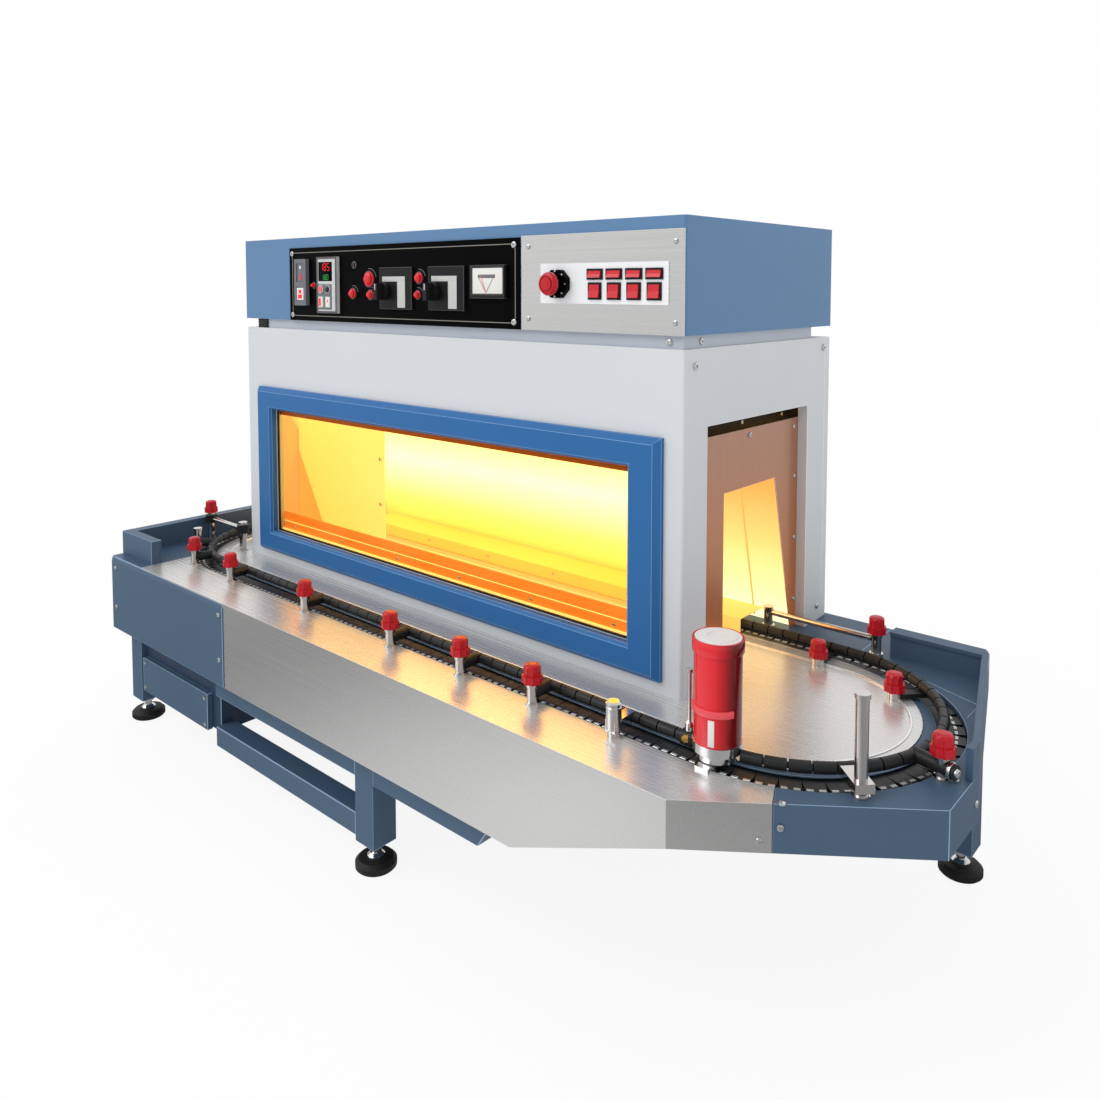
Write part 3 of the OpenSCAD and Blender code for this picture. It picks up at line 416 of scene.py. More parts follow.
def front_corners(low, high, inset):
    """The four corners of a front face, a little way in."""
    return [
        ((x, low[1], z), to_front)
        for x in (low[0] + inset, high[0] - inset) for z in (low[2] + inset, high[2] - inset)
    ]


# The housing's darker blue is painted shade.
painted_shade_blue = painted("painted_shade_blue", "2E4158")
dress(["drive_housing"], painted_shade_blue, slate_highlight, edge=0.0015)
dress(["drive_cover"], slate_blue, slate_highlight, edge=0.002)
button_screws("drive_cover_screws", 0.006, front_corners(*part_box("drive_cover"), 0.014))

# Conveyor bed. Folded sheets in slate blue, with a brushed stainless cover and skirt along
# the front and a stainless deck plate inside the chain, all held by button-head screws.
dress(
    ["bed_plate", "left_end_tray", "left_end_wall", "right_end_tray", "rear_guard", "rear_apron",
     "deck_base", "front_left_panel"],
    slate_blue, slate_highlight, edge=0.0012,
)

# Brushed steel: fine scratches drawn out along one direction
brush_marks, entry, leave = new_group("brush_marks")
drawn = brush_marks.nodes.new("ShaderNodeMapping")
drawn.inputs["Scale"].default_value = (1.5, 420.0, 420.0)
link(brush_marks, entry.outputs["Place"], drawn.inputs["Vector"])
marks = noise(brush_marks, drawn.outputs["Vector"], 1.0, 4.0)
link(brush_marks, marks, leave.inputs["Cloud"])
link(brush_marks, ranged(brush_marks, marks, 0.18, 0.38), leave.inputs["Roughness"])
link(brush_marks, marks, leave.inputs["Height"])


def along(tree, place, axis):
    """One coordinate of a place, or one part of a normal."""
    parts = tree.nodes.new("ShaderNodeSeparateXYZ")
    link(tree, place, parts.inputs["Vector"])
    return parts.outputs[axis]


def brushed(name, colour):
    """Brushed stainless, its marks along X."""
    material, tree, shader, place = new_material(name)
    brush = tree.nodes.new("ShaderNodeGroup")
    brush.node_tree = brush_marks
    link(tree, place, brush.inputs["Place"])
    link(tree, tinted(tree, linear(colour), brush.outputs["Cloud"], 0.07), shader.inputs["Base Color"])
    link(tree, brush.outputs["Roughness"], shader.inputs["Roughness"])
    embossed(tree, shader, brush.outputs["Height"], 0.03, 0.0005)
    # Sheet that lies flat is made less metallic, so it shows more plain light: a painted lightening of the
    # tops
    facing = tree.nodes.new("ShaderNodeTexCoord").outputs["Normal"]
    link(tree, ranged(tree, along(tree, facing, "Z"), 1.0, 0.6, 0.7, 0.95), shader.inputs["Metallic"])
    return material


brushed_steel = brushed("brushed_steel", "DADAD9")
# The rounded edges take a paler steel: a painted highlight.
steel_highlight = brushed("steel_highlight", "F2F2F0")
dress(["front_skirt", "deck_plate"], brushed_steel, steel_highlight, edge=0.0020)
panel_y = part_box("front_left_panel")[0][1]
rear_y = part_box("rear_apron")[1][1]
chamfer = (0.608, -0.795, 0.0)
bed_spots = [((x, panel_y, z), to_front) for x in (-1.166, -0.556) for z in (0.347, 0.467)]
bed_spots += [((0.960, -0.397, 0.438), chamfer), ((0.986, -0.377, 0.462), chamfer)]
bed_spots += [((0.988, -0.375, 0.5), upward), ((1.172, -0.117, 0.5), upward)]
bed_spots += [((1.195, -0.085, 0.454), to_right)]
bed_spots += [((-1.195, y, z), to_left) for y in (-0.45, 0.02, 0.45) for z in (0.32, 0.455)]
bed_spots += [((-1.15 + 0.32 * i, rear_y, z), to_rear) for i in range(7) for z in (0.31, 0.465)]
button_screws("bed_screws", 0.0065, bed_spots)


def slab(name, low, high):
    """A sharp block between two corners, to be shaped further."""
    return start_piece(
        bpy.ops.mesh.primitive_cube_add, name, size=1.0,
        location=[(a + b) / 2 for a, b in zip(low, high)], scale=[b - a for a, b in zip(low, high)],
    )


def plate(name, low, high, soft=0.0008):
    """A flat plate between two corners, its edges rounded."""
    piece = slab(name, low, high)
    soften(piece, lambda normal: True, soft)
    return piece


def turned(point, turn):
    """The place of a model that is turned about Z on a point."""
    return Matrix.Translation(point) @ Matrix.Rotation(turn, 4, "Z")


# A dark gap parts the front cover from the right tray, whose floor has one folded seam, drawn as a line of
# painted highlight
bend_x, loop_y, bend_r = 0.830, -0.040, 0.282
joint_gap = plate("tray_joint", (0.3225, -0.0008, 0.4185), (0.3742, 0.0008, 0.5003), 0.0002)
joint_place = turned((bend_x, loop_y, 0.0), math.radians(-67))
finish_piece(repeat(joint_gap, [joint_place]), pad_rubber)
seam_points = [(0.999, 0.2435), (1.116, 0.1990), (1.1145, 0.1300)]
seams = []
for (start_x, start_y), (end_x, end_y) in zip(seam_points, seam_points[1:]):
    run = math.hypot(end_x - start_x, end_y - start_y)
    seam = plate("tray_seams", (0.0, -0.0009, 0.0), (run, 0.0009, 0.0008), 0.0003)
    turn = math.atan2(end_y - start_y, end_x - start_x)
    seams.append(repeat(seam, [turned((start_x, start_y, 0.4999), turn)]))
finish_piece(join_pieces(seams), slate_highlight)

# Chain. Narrow black acetal top plates on steel links in an oval slot; each plate has a
# pair of bright steel clips pressed into its outer half.
black_acetal = moulded("black_acetal", "202122", unevenness=0.3)
dress(["chain_slats"], black_acetal)
oiled_steel = brushed("oiled_steel", "4A4C4E")
dress(["chain_links"], oiled_steel)
clips_a_plate = 2
straight_clips, bend_clips = clips_a_plate * 43, clips_a_plate * 23
clip_r, clip_z = bend_r + 0.022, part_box("chain_slats")[1][2]
clip = slab("chain_clips", (-0.006, -0.00325, -0.0008), (0.006, 0.00325, 0.0008))
soften(clip, lambda normal: normal.z > 0.9, 0.0006, 1)
clip_places = []
for i in range(straight_clips):
    x = -bend_x + (i + 0.5) * 2 * bend_x / straight_clips
    clip_places += [Matrix.Translation((x, loop_y + side * clip_r, clip_z)) for side in (-1, 1)]
for side in (-1, 1):
    for i in range(bend_clips):
        turn = math.radians(((i + 0.5) * 180 / bend_clips - 90) + (0 if side > 0 else 180))
        bend_centre = turned((side * bend_x, loop_y, clip_z), turn)
        clip_places.append(bend_centre @ turned((clip_r, 0.0, 0.0), math.pi / 2))
clip_steel = brushed("clip_steel", "C6CAC7")
finish_piece(repeat(clip, clip_places), clip_steel)

# Guides. Black rollers threaded on a core over the chain, on chrome posts with black clamps
# and red hand knobs; the end clamp has a bright ring and a bolt.
dress(["guide_rail", "guide_clamps"], black_acetal)
dark_chrome = plated("dark_chrome", "D2CFCD")
dress(["guide_posts", "rear_guide_bar"], dark_chrome)
red_knob = moulded("red_knob", "BC1020", 0.22, 0.4, 0.4, 0.1)
dress(["clamp_knobs"], red_knob)


def ring(name, outer, inner, depth, soft=0.0004, count=32):
    """A flat ring lying on the origin, with softened edges."""
    piece = start_piece(
        bpy.ops.mesh.primitive_cylinder_add, name,
        vertices=count, radius=outer, depth=depth, location=(0.0, 0.0, depth / 2),
    )
    choose_faces(piece, lambda normal: abs(normal.z) > 0.9)
    bpy.ops.mesh.inset(thickness=outer - inner)
    bpy.ops.mesh.bridge_edge_loops()
    bpy.ops.object.mode_set(mode="OBJECT")
    edge = piece.modifiers.new("edge", "BEVEL")
    edge.width = soft
    edge.segments = 2
    edge.angle_limit = math.radians(50)
    bpy.ops.object.modifier_apply(modifier="edge")
    return piece


def choose_corners(piece, wanted):
    """Goes into edit mode with only the corners selected that a test of place picks."""
    bpy.ops.object.mode_set(mode="OBJECT")
    bpy.context.tool_settings.mesh_select_mode = (True, False, False)
    for flags in (piece.data.edges, piece.data.polygons):
        flags.foreach_set("select", [False] * len(flags))
    piece.data.vertices.foreach_set("select", [wanted(corner.co) for corner in piece.data.vertices])
    bpy.ops.object.mode_set(mode="EDIT")


# A rolled bead lies round the inner deck, along the chain's whole loop; its bright steel is a painted
# highlight
bead_r, bead_z = bend_r - 0.054, 0.4966
bead = ring("deck_bead", bead_r, bead_r - 0.005, 0.0055, 0.001, 128)
middle = -0.00001
choose_corners(bead, lambda place: place.x > middle)
bpy.ops.transform.translate(value=(bend_x, 0.0, 0.0))
choose_corners(bead, lambda place: place.x < middle)
bpy.ops.transform.translate(value=(-bend_x, 0.0, 0.0))
bpy.ops.object.mode_set(mode="OBJECT")
finish_piece(repeat(bead, [Matrix.Translation((0.0, loop_y, bead_z))]), steel_highlight)


def outward(degrees):
    """The level direction at an angle about Z."""
    return Vector((math.cos(math.radians(degrees)), math.sin(math.radians(degrees)), 0.0))


end_out = outward(-15)
end_centre = Vector((bend_x, loop_y, 0.520))
ring_reach, bolt_reach = 0.349, 0.359
ring_place = standing(end_centre + end_out * ring_reach, end_out)
finish_piece(repeat(ring("clamp_ring", 0.0155, 0.0132, 0.006), [ring_place]), bright_chrome)
button_screws("clamp_bolt", 0.008, [(end_centre + end_out * bolt_reach, end_out)])

# Chain oiler. A clear red reservoir with a moulded grip and a white gauge strip, under a
# flanged lid, on a bright two-tier seat over the slot.
oiler_x, oiler_y = 0.837, -0.322
bowl_low, bowl_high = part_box("oiler_reservoir")
bowl_r = (bowl_high[0] - bowl_low[0]) / 2
red_bowl, tree, shader, place = new_material("red_bowl")
facing = tree.nodes.new("ShaderNodeTexCoord").outputs["Normal"]
painted_light_side = ranged(tree, along(tree, facing, "X"), 0.0, 1.0, -1.0, 1.0)


def heat_ramp(tree, value, *stops):
    """Colours along a value, each given with its position."""
    ramp = tree.nodes.new("ShaderNodeValToRGB")
    while len(ramp.color_ramp.elements) < len(stops):
        ramp.color_ramp.elements.new(0.5)
    for element, (position, colour) in zip(ramp.color_ramp.elements, stops):
        element.position = position
        element.color = linear(colour)
    link(tree, value, ramp.inputs["Fac"])
    return ramp.outputs["Color"]


# The bowl's red is lightest where it faces the front and darkest where it faces +X: painted highlight and
# painted shade.
bowl_red_light_and_shade = heat_ramp(
    tree, painted_light_side, (0.1, "C8141F"), (0.3, "E43038"), (0.7, "DC2832"), (0.85, "B8121B"), (0.96, "68060C"),
)
link(tree, bowl_red_light_and_shade, shader.inputs["Base Color"])
link(tree, ranged(tree, noise(tree, place, 60.0), 0.08, 0.2), shader.inputs["Roughness"])
embossed(tree, shader, noise(tree, place, 240.0, 2.0), 0.05, 0.0005)
dress(["oiler_reservoir"], red_bowl)
dress(["oiler_fittings"], bright_chrome)
bowl_clear = moulded("bowl_clear", "E8505A", 0.1, 0.25, 0.5, 0.1)
paper_white = painted("paper_white", "E6E4E0", 0.03)
cap_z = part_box("oiler_fittings")[1][2]
grip_z, strip_low, strip_high, nut_z = 0.592, 0.541, 0.587, 0.531
flange = ring("oiler_flange", bowl_r + 0.0035, bowl_r + 0.0003, 0.024, 0.001)
flange_place = Matrix.Translation((oiler_x, oiler_y, cap_z - 0.0225))
finish_piece(repeat(flange, [flange_place]), red_bowl)
lid = start_piece(
    bpy.ops.mesh.primitive_cylinder_add, "oiler_lid",
    vertices=48, radius=bowl_r - 0.001, depth=0.003, location=(oiler_x, oiler_y, cap_z),
)
sink(lid, lambda normal: normal.z > 0.9, (0.008, (0.0, 0.0, 0.0015)), (0.014, (0.0, 0.0, -0.001)))
finish_piece(lid, paper_white)


def ring_part(name, outer, inner, depth, start, end):
    """The part of a ring between two angles, less than half a turn."""
    piece = ring(name, outer, inner, depth)
    bpy.ops.object.mode_set(mode="EDIT")
    for angle, side in ((start, 1), (end, -1)):
        turn = math.radians(angle)
        bpy.ops.mesh.select_all(action="SELECT")
        bpy.ops.mesh.bisect(
            plane_co=(0.0, 0.0, 0.0), plane_no=(-side * math.sin(turn), side * math.cos(turn), 0.0),
            use_fill=True, clear_inner=True,
        )
    bpy.ops.object.mode_set(mode="OBJECT")
    return piece


grip = ring_part("oiler_grip", bowl_r + 0.0035, bowl_r - 0.001, 0.012, -150, -22)
finish_piece(repeat(grip, [Matrix.Translation((oiler_x, oiler_y, grip_z))]), bowl_clear)
strip = slab("oiler_strip", (bowl_r - 0.0006, -0.0055, strip_low), (bowl_r + 0.0010, 0.0055, strip_high))
soften(strip, lambda normal: normal.x > 0.9, 0.0005)
strip_place = turned((oiler_x, oiler_y, 0.0), math.radians(-74))
finish_piece(repeat(strip, [strip_place]), paper_white)
seat_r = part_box("oiler_fittings")[1][1] - oiler_y
brass = plated("brass", "C79A4E", 0.2, 0.35)
nut = start_piece(
    bpy.ops.mesh.primitive_cylinder_add, "oiler_nut",
    vertices=6, radius=0.007, depth=0.008, location=(0.0, 0.0, 0.003),
)
sink(nut, lambda normal: normal.z > 0.9, (0.0025, (0.0, 0.0, 0.003)))
nut_out = outward(-150)
nut_place = standing(Vector((oiler_x, oiler_y, nut_z)) + nut_out * (seat_r - 0.0005), nut_out)
finish_piece(repeat(nut, [nut_place]), brass)

# Housing. Insulated panels in pale grey powder coat, with screws at the corners of both
# ends and along the rear.
pale_grey = painted("pale_grey", "D2D6D9", 0.03)
# The rounded edges take a paler grey: a painted highlight.
pale_highlight = painted("pale_highlight", "F0F2F4", 0.03)
dress(
    ["front_panel", "right_end_panel", "left_end_panel", "rear_panel", "roof_panel"],
    pale_grey, pale_highlight, edge=0.0015,
)
housing_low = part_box("front_panel")[0]
housing_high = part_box("rear_panel")[1]
end_spots = []
for x, out in ((housing_low[0], to_left), (housing_high[0], to_right)):
    end_spots += [((x, y, z), out) for y, z in ((-0.136, 1.166), (0.440, 1.175), (0.426, 0.537))]
rear_inset, rear_pitch = 0.04, 0.3775
rear_xs = [housing_low[0] + rear_inset + i * rear_pitch for i in range(5)]
end_spots += [((x, housing_high[1], z), to_rear) for x in rear_xs for z in (0.535, 1.165)]
button_screws("housing_screws", 0.008, end_spots)

# Window and hot chamber. Amber heat-resistant glass behind a black seal, in a blue mitred
# frame, in front of a stainless chamber with a leaning rear sheet, whose light is painted on its sheets as
# glow.
frame_blue = painted("frame_blue", "2B68A4")
# The rounded edges take a lighter blue: a painted highlight.
frame_highlight = painted("frame_highlight", "7FAAD6")
dress(["window_frame"], frame_blue, frame_highlight, edge=0.002)

amber_glass, tree, shader, place = new_material("amber_glass")
shader.inputs["Base Color"].default_value = (1.0, 0.87, 0.5, 1.0)
link(tree, ranged(tree, noise(tree, place, 4.0), 0.0, 0.03), shader.inputs["Roughness"])
shader.inputs["Transmission Weight"].default_value = 1.0
shader.inputs["IOR"].default_value = 1.1
dress(["window_glass"], amber_glass)


def strip_frame(name, low, high, width):
    """A flat frame that faces the front: a plate with its middle taken out."""
    piece = slab(name, low, high)
    choose_faces(piece, lambda normal: abs(normal.y) > 0.9)
    bpy.ops.mesh.inset(thickness=width)
    bpy.ops.mesh.bridge_edge_loops()
    bpy.ops.object.mode_set(mode="OBJECT")
    return piece


glass_low, glass_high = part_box("window_glass")
# The black seal is partly painted shade: besides a gasket it stands for the shadow in the frame's reveal at
# the left and top.
seal = strip_frame(
    "window_seal", (glass_low[0], glass_low[1] - 0.005, glass_low[2]),
    (glass_high[0], glass_low[1], glass_high[2]), 0.004,
)
finish_piece(seal, pad_rubber)


def painted_glow_metal(name, metallic, colour, grain, strength):
    """Bare sheet that shines by itself as painted glow, in a colour that is linked afterwards."""
    material, tree, shader, place = new_material(name)
    shader.inputs["Metallic"].default_value = metallic
    shader.inputs["Base Color"].default_value = linear(colour)
    link(tree, ranged(tree, noise(tree, place, grain), 0.3, 0.5), shader.inputs["Roughness"])
    shader.inputs["Emission Strength"].default_value = strength
    return material, tree, shader, place


# The chamber's sheets shine with painted glow, from orange at the deck to pale yellow in the
# middle; their outer side, above the ceiling, is dark
painted_glow_sheet, tree, shader, place = painted_glow_metal("painted_glow_sheet", 0.3, "C08A48", 30.0, 2.5)
height = ranged(tree, along(tree, place, "Z"), 0.0, 1.0, 0.5, 1.0)
glow_colour = heat_ramp(
    tree, height, (0.0, "CC8030"), (0.22, "E4BC68"), (0.5, "F6EAC8"), (0.75, "EACC7C"), (0.94, "D09038"),
    (0.95, "FFE2A8"), (0.962, "FFE2A8"), (0.966, "000000"),
)
# Past the last lamp, toward the right mouth, their painted glow is dimmer
dim_colour = heat_ramp(
    tree, height, (0.0, "C0B890"), (0.15, "B4A878"), (0.4, "A28C52"), (0.7, "8E6832"), (0.94, "70461A"),
    (0.962, "A08850"), (0.966, "000000"),
)
lamp_end = ranged(tree, along(tree, place, "X"), 0.0, 1.0, 0.24, 0.42)
link(tree, mixed(tree, lamp_end, glow_colour, dim_colour), shader.inputs["Emission Color"])
dress(["chamber_liner"], painted_glow_sheet)


def lit(material, colour, strength):
    """Lets a finish shine in one colour."""
    shader = material.node_tree.nodes["Principled BSDF"]
    shader.inputs["Emission Color"].default_value = linear(colour)
    shader.inputs["Emission Strength"].default_value = strength
    return material


# The sill glows orange and its rounded edges pale yellow: painted glow.
painted_glow_sill, tree, shader, place = painted_glow_metal("painted_glow_sill", 0.5, "C08050", 40.0, 0.8)
sill_glow = heat_ramp(tree, noise(tree, place, 3.0), (0.2, "EC6E14"), (0.8, "F47E1E"))
link(tree, sill_glow, shader.inputs["Emission Color"])
painted_glow_edge = lit(painted("painted_glow_edge", "FFE0A0"), "FFE0A0", 0.9)
dress(["window_sill"], painted_glow_sill, painted_glow_edge, edge=0.0015)
sill_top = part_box("window_sill")[1][2]
sill_spots = [((-0.72 + 0.24 * i, -0.150, sill_top - 0.014), to_front) for i in range(6)]
button_screws("sill_screws", 0.005, sill_spots)

# The sill has an upstand behind its face, and a bright bead of painted glow and an orange-brown header, whose
# colour is the chamber's painted light, edge the glass
upstand = plate("sill_upstand", (-0.890, -0.1470, 0.600), (0.634, -0.1445, 0.644), 0.001)
finish_piece(upstand, painted_glow_sill)
bead_low = (glass_low[0], -0.1575, glass_low[2] + 0.0005)
bead_high = (glass_high[0], -0.1525, glass_low[2] + 0.0055)
finish_piece(plate("sill_bead", bead_low, bead_high, 0.002), painted_glow_edge)
# The header's orange-brown is the chamber's light painted on.
header_painted_light = painted("header_painted_light", "C8641C", 0.1)
header_low = (glass_low[0], -0.1605, glass_high[2] - 0.019)
header_high = (glass_high[0], -0.1580, glass_high[2])
finish_piece(plate("window_header", header_low, header_high), header_painted_light)

# Sheet joints stand as thin ribs on the leaning rear sheet
foot_y, top_y, foot_z, top_z = 0.352, 0.240, 0.5, 0.98
lean = math.atan2(foot_y - top_y, top_z - foot_z)
rib_l = math.hypot(foot_y - top_y, top_z - foot_z)
rib = slab("chamber_ribs", (-0.002, -0.0015, -0.49 * rib_l), (0.002, 0.0015, 0.49 * rib_l))
soften(rib, lambda normal: normal.y < -0.9, 0.0012)
rib_middle = Vector((0.0, (foot_y + top_y) / 2 - 0.001, (foot_z + top_z) / 2))
rib_places = [
    Matrix.Translation(rib_middle + Vector((x, 0.0, 0.0))) @ Matrix.Rotation(lean, 4, "X")
    for x in (0.28, 0.54)
]
# The ribs shine amber: painted glow.
painted_glow_rib = lit(painted("painted_glow_rib", "D8A858"), "E0B868", 0.6)
finish_piece(repeat(rib, rib_places), painted_glow_rib)

# A screen stands inside the left mouth and a low guard in front of the rear guide, both of
# bare sheet with the chamber's colour painted on as glow, the screen paler above a slanted line, with a row
# of screws each
painted_glow_screen, tree, shader, place = painted_glow_metal("painted_glow_screen", 0.3, "C08A48", 30.0, 0.95)
slant = measured(tree, "DOT_PRODUCT", place, (-0.864, 0.0, -0.503))
screen_glow = heat_ramp(
    tree, ranged(tree, slant, 0.0, 1.0, 0.0, 0.5),
    (0.1, "FFF09A"), (0.6, "FFE884"), (0.729, "FFE078"), (0.733, "F0A050"), (1.0, "F4A85C"),
)
link(tree, screen_glow, shader.inputs["Emission Color"])
screen_low, screen_high = (-0.890, -0.0185, 0.5005), (-0.456, -0.0155, 0.978)
finish_piece(plate("infeed_screen", screen_low, screen_high, 0.0012), painted_glow_screen)
screen_x = screen_high[0] - 0.018
screen_spots = [((screen_x, screen_low[1], z), to_front) for z in (0.556, 0.689, 0.822, 0.955)]
button_screws("screen_screws", 0.006, screen_spots)
painted_glow_guard = lit(painted("painted_glow_guard", "D8A850", 0.1), "F0C868", 0.7)
guard_left, guard_right, guard_y, guard_top = -0.860, 0.570, 0.2255, 0.5350
guard_t, guard_rear = 0.003, 0.335
guard_face = plate(
    "chamber_guard", (guard_left, guard_y, 0.5005), (guard_right, guard_y + guard_t, guard_top), 0.001,
)
guard_lid = plate(
    "guard_top", (guard_left, guard_y + 0.0025, guard_top - guard_t),
    (guard_right, guard_rear, guard_top), 0.001,
)
finish_piece(join_pieces([guard_face, guard_lid]), painted_glow_guard)
guard_spots = [((-0.80 + 0.26 * i, guard_y, 0.520), to_front) for i in range(6)]
button_screws("guard_screws", 0.005, guard_spots)

# The mouth plates are browned steel outside, with a faint painted glow, and brighter painted glow on their
# inner side
mouth_plate, tree, shader, place = new_material("mouth_plate")
shader.inputs["Metallic"].default_value = 0.8
normal_now = tree.nodes.new("ShaderNodeTexCoord").outputs["Normal"]
facing_out = reckoned(tree, "MULTIPLY", along(tree, normal_now, "X"), along(tree, place, "X"))
inside = ranged(tree, facing_out, 1.0, 0.0, -0.3, -0.1)
height = ranged(tree, along(tree, place, "Z"), 0.0, 1.0, 0.5, 1.0)
outside_steel = heat_ramp(tree, height, (0.0, "D88A4C"), (0.35, "B88464"), (1.0, "A48878"))
upright = tree.nodes.new("ShaderNodeMapping")
upright.inputs["Scale"].default_value = (60.0, 60.0, 1.2)
link(tree, place, upright.inputs["Vector"])
streaks = noise(tree, upright.outputs["Vector"], 1.0)
link(tree, ranged(tree, streaks, 0.25, 0.5), shader.inputs["Roughness"])
link(tree, tinted(tree, outside_steel, streaks, 0.14), shader.inputs["Base Color"])
# The left plate's inner side is paler above a slanted line, as the screen beside it is: both painted light
lit_line = measured(tree, "DOT_PRODUCT", place, (0.0, 0.882, 0.472))
inner_glow = heat_ramp(
    tree, ranged(tree, lit_line, 0.0, 1.0, 0.3843, 0.4043),
    (0.0, "F0A868"), (0.48, "F0A868"), (0.52, "FFD07C"), (1.0, "FFD07C"),
)
link(tree, mixed(tree, inside, linear("5A2E14"), inner_glow), shader.inputs["Emission Color"])
shader.inputs["Emission Strength"].default_value = 0.9
dress(["mouth_liners"], mouth_plate, steel_highlight, edge=0.0008)
liner_low, liner_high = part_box("mouth_liners")
liner_spots = [
    (-0.060, 0.990), (0.130, 0.995), (0.340, 0.990), (-0.066, 0.860), (-0.066, 0.700),
    (0.346, 0.870), (0.350, 0.720), (0.352, 0.568),
]
liner_screws = [((liner_high[0], y, z), to_right) for y, z in liner_spots]
liner_screws += [((liner_low[0], y, z), to_left) for y, z in liner_spots]
button_screws("liner_screws", 0.006, liner_screws)

# Above each mouth plate a near-black sheet closes the hollow wall, held by three screws; its black is painted
# shade
painted_shade_black = painted("painted_shade_black", "161311", 0.3, 0.05, 0.1)
baffle_in, baffle_z, baffle_foot, baffle_top = 0.034, 1.018, 0.984, 1.052
for side, liner_x, out in (("right", liner_high[0], 1), ("left", liner_low[0], -1)):
    x = liner_x - out * baffle_in
    baffle = slab(f"{side}_baffle", (x - 0.001, -0.110, baffle_foot), (x + 0.001, 0.430, baffle_top))
    sink(baffle, lambda normal: normal.x * out > 0.9, (0.004, (out * 0.0008, 0.0, 0.0)))
    finish_piece(baffle, painted_shade_black)
    spots = [((x + out * 0.0018, y, baffle_z), (out, 0, 0)) for y in (-0.040, 0.150, 0.340)]
    button_screws(f"{side}_baffle_screws", 0.005, spots)

# Control box. Folded blue sheet on a recessed grey neck, with a black spacer under its left
# end and screws round the neck.
box_blue = painted("box_blue", "5F84AB")
# The rounded edges take a lighter blue: a painted highlight.
box_highlight = painted("box_highlight", "A4C2E0")
dress(["control_box"], box_blue, box_highlight, edge=0.0015)
neck_grey = painted("neck_grey", "B2B9C4")
dress(["neck"], neck_grey)
neck_spots = [((0.629, -0.169, 1.213), to_front), ((0.661, -0.106, 1.214), to_right)]
button_screws("neck_screws", 0.007, neck_spots)
spacer = plate("neck_spacer", (-0.862, -0.174, 1.200), (-0.812, -0.120, 1.227), 0.002)
finish_piece(spacer, pad_rubber)

# Control panel. A black painted sheet set into the box's front, with a pale line printed
# round it and a screw in each corner.
panel_black = painted("panel_black", "050505", 0.2, 0.03, 0.03)
dress(["control_panel", "estop_base"], panel_black)
case_black = moulded("case_black", "19191B", 0.35, 0.5, 0.2)
# The cases' rounded edges take a lighter grey as a painted highlight; the same grey is the controller's rim.
case_highlight_and_rim_grey = moulded("case_highlight_and_rim_grey", "5A5A5C", 0.35, 0.5, 0.2)
dress(["selector_plates", "panel_meter"], case_black, case_highlight_and_rim_grey, edge=0.001)
line_grey = painted("line_grey", "8E8A82", 0.05)
panel_low, panel_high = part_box("control_panel")
inst_y = panel_low[1] + 0.001
line_in = 0.013
panel_line = strip_frame(
    "panel_line", (panel_low[0] + line_in, inst_y - 0.0006, panel_low[2] + line_in),
    (panel_high[0] - line_in, inst_y, panel_high[2] - line_in), 0.0018,
)
finish_piece(panel_line, line_grey)
panel_corners = front_corners((panel_low[0], inst_y, panel_low[2]), panel_high, 0.016)
button_screws("panel_screws", 0.008, panel_corners)

# Power module. A moulded grey block with a white lamp bar, red marks and a pale key plate at
# its foot, all let into its face.
grey_plastic = moulded("grey_plastic", "6E7176", 0.3, 0.5)
dress(["power_module"], grey_plastic)
lit_red = lit(moulded("lit_red", "E02028", 0.2, 0.35), "E02028", 0.4)


def label(name, left, right, foot, top, face, thickness, soft=0.0008):
    """A thin plate that stands out of a front face by its thickness."""
    return plate(name, (left, face - thickness, foot), (right, face, top), soft)


low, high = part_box("power_module")
key_y, key_t = low[1] + 0.003, 0.003
key_foot, key_top = low[2] + 0.015, low[2] + 0.050
key_plate = label("module_key", low[0] + 0.012, high[0] - 0.012, key_foot, key_top, key_y, key_t)
finish_piece(key_plate, paper_white)
module_marks = []
for inset, foot, top, face in (
    (0.019, 0.020, 0.031, key_y - key_t), (0.022, 0.035, 0.044, key_y - key_t), (0.025, 0.072, 0.090, key_y),
):
    mark = label("module_marks", low[0] + inset, high[0] - inset, low[2] + foot, low[2] + top, face, 0.0015)
    module_marks.append(mark)
finish_piece(join_pieces(module_marks), lit_red)
lamp_foot, lamp_top = low[2] + 0.103, low[2] + 0.112
lamp_bar = label("module_lamp", low[0] + 0.024, high[0] - 0.024, lamp_foot, lamp_top, key_y, 0.002, 0.002)
finish_piece(lamp_bar, paper_white)

# Temperature controller. A silver moulded face in a dark rim, with a black display, red and
# green lit figures, and two round buttons and two tall keys on a grey field.
silver_plastic = moulded("silver_plastic", "C9CACB", 0.3, 0.45)
dress(["temperature_controller"], silver_plastic)
low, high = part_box("temperature_controller")
display_low = (low[0] + 0.008, low[1] + 0.0035, low[2] + 0.088)
display_high = (high[0] - 0.020, low[1] + 0.0050, high[2] - 0.014)
finish_piece(plate("display_pane", display_low, display_high, 0.0005), panel_black)
lit_green = lit(moulded("lit_green", "1E9A48", 0.2, 0.35), "1E9A48", 0.4)
lit_bars = {"0": "abcdef", "1": "bc", "5": "acdfg", "8": "abcdefg"}
bar_places = {
    "a": (0.0, 1.0, 0), "b": (0.5, 0.5, 1), "c": (0.5, -0.5, 1), "d": (0.0, -1.0, 0),
    "e": (-0.5, -0.5, 1), "f": (-0.5, 0.5, 1), "g": (0.0, 0.0, 0),
}


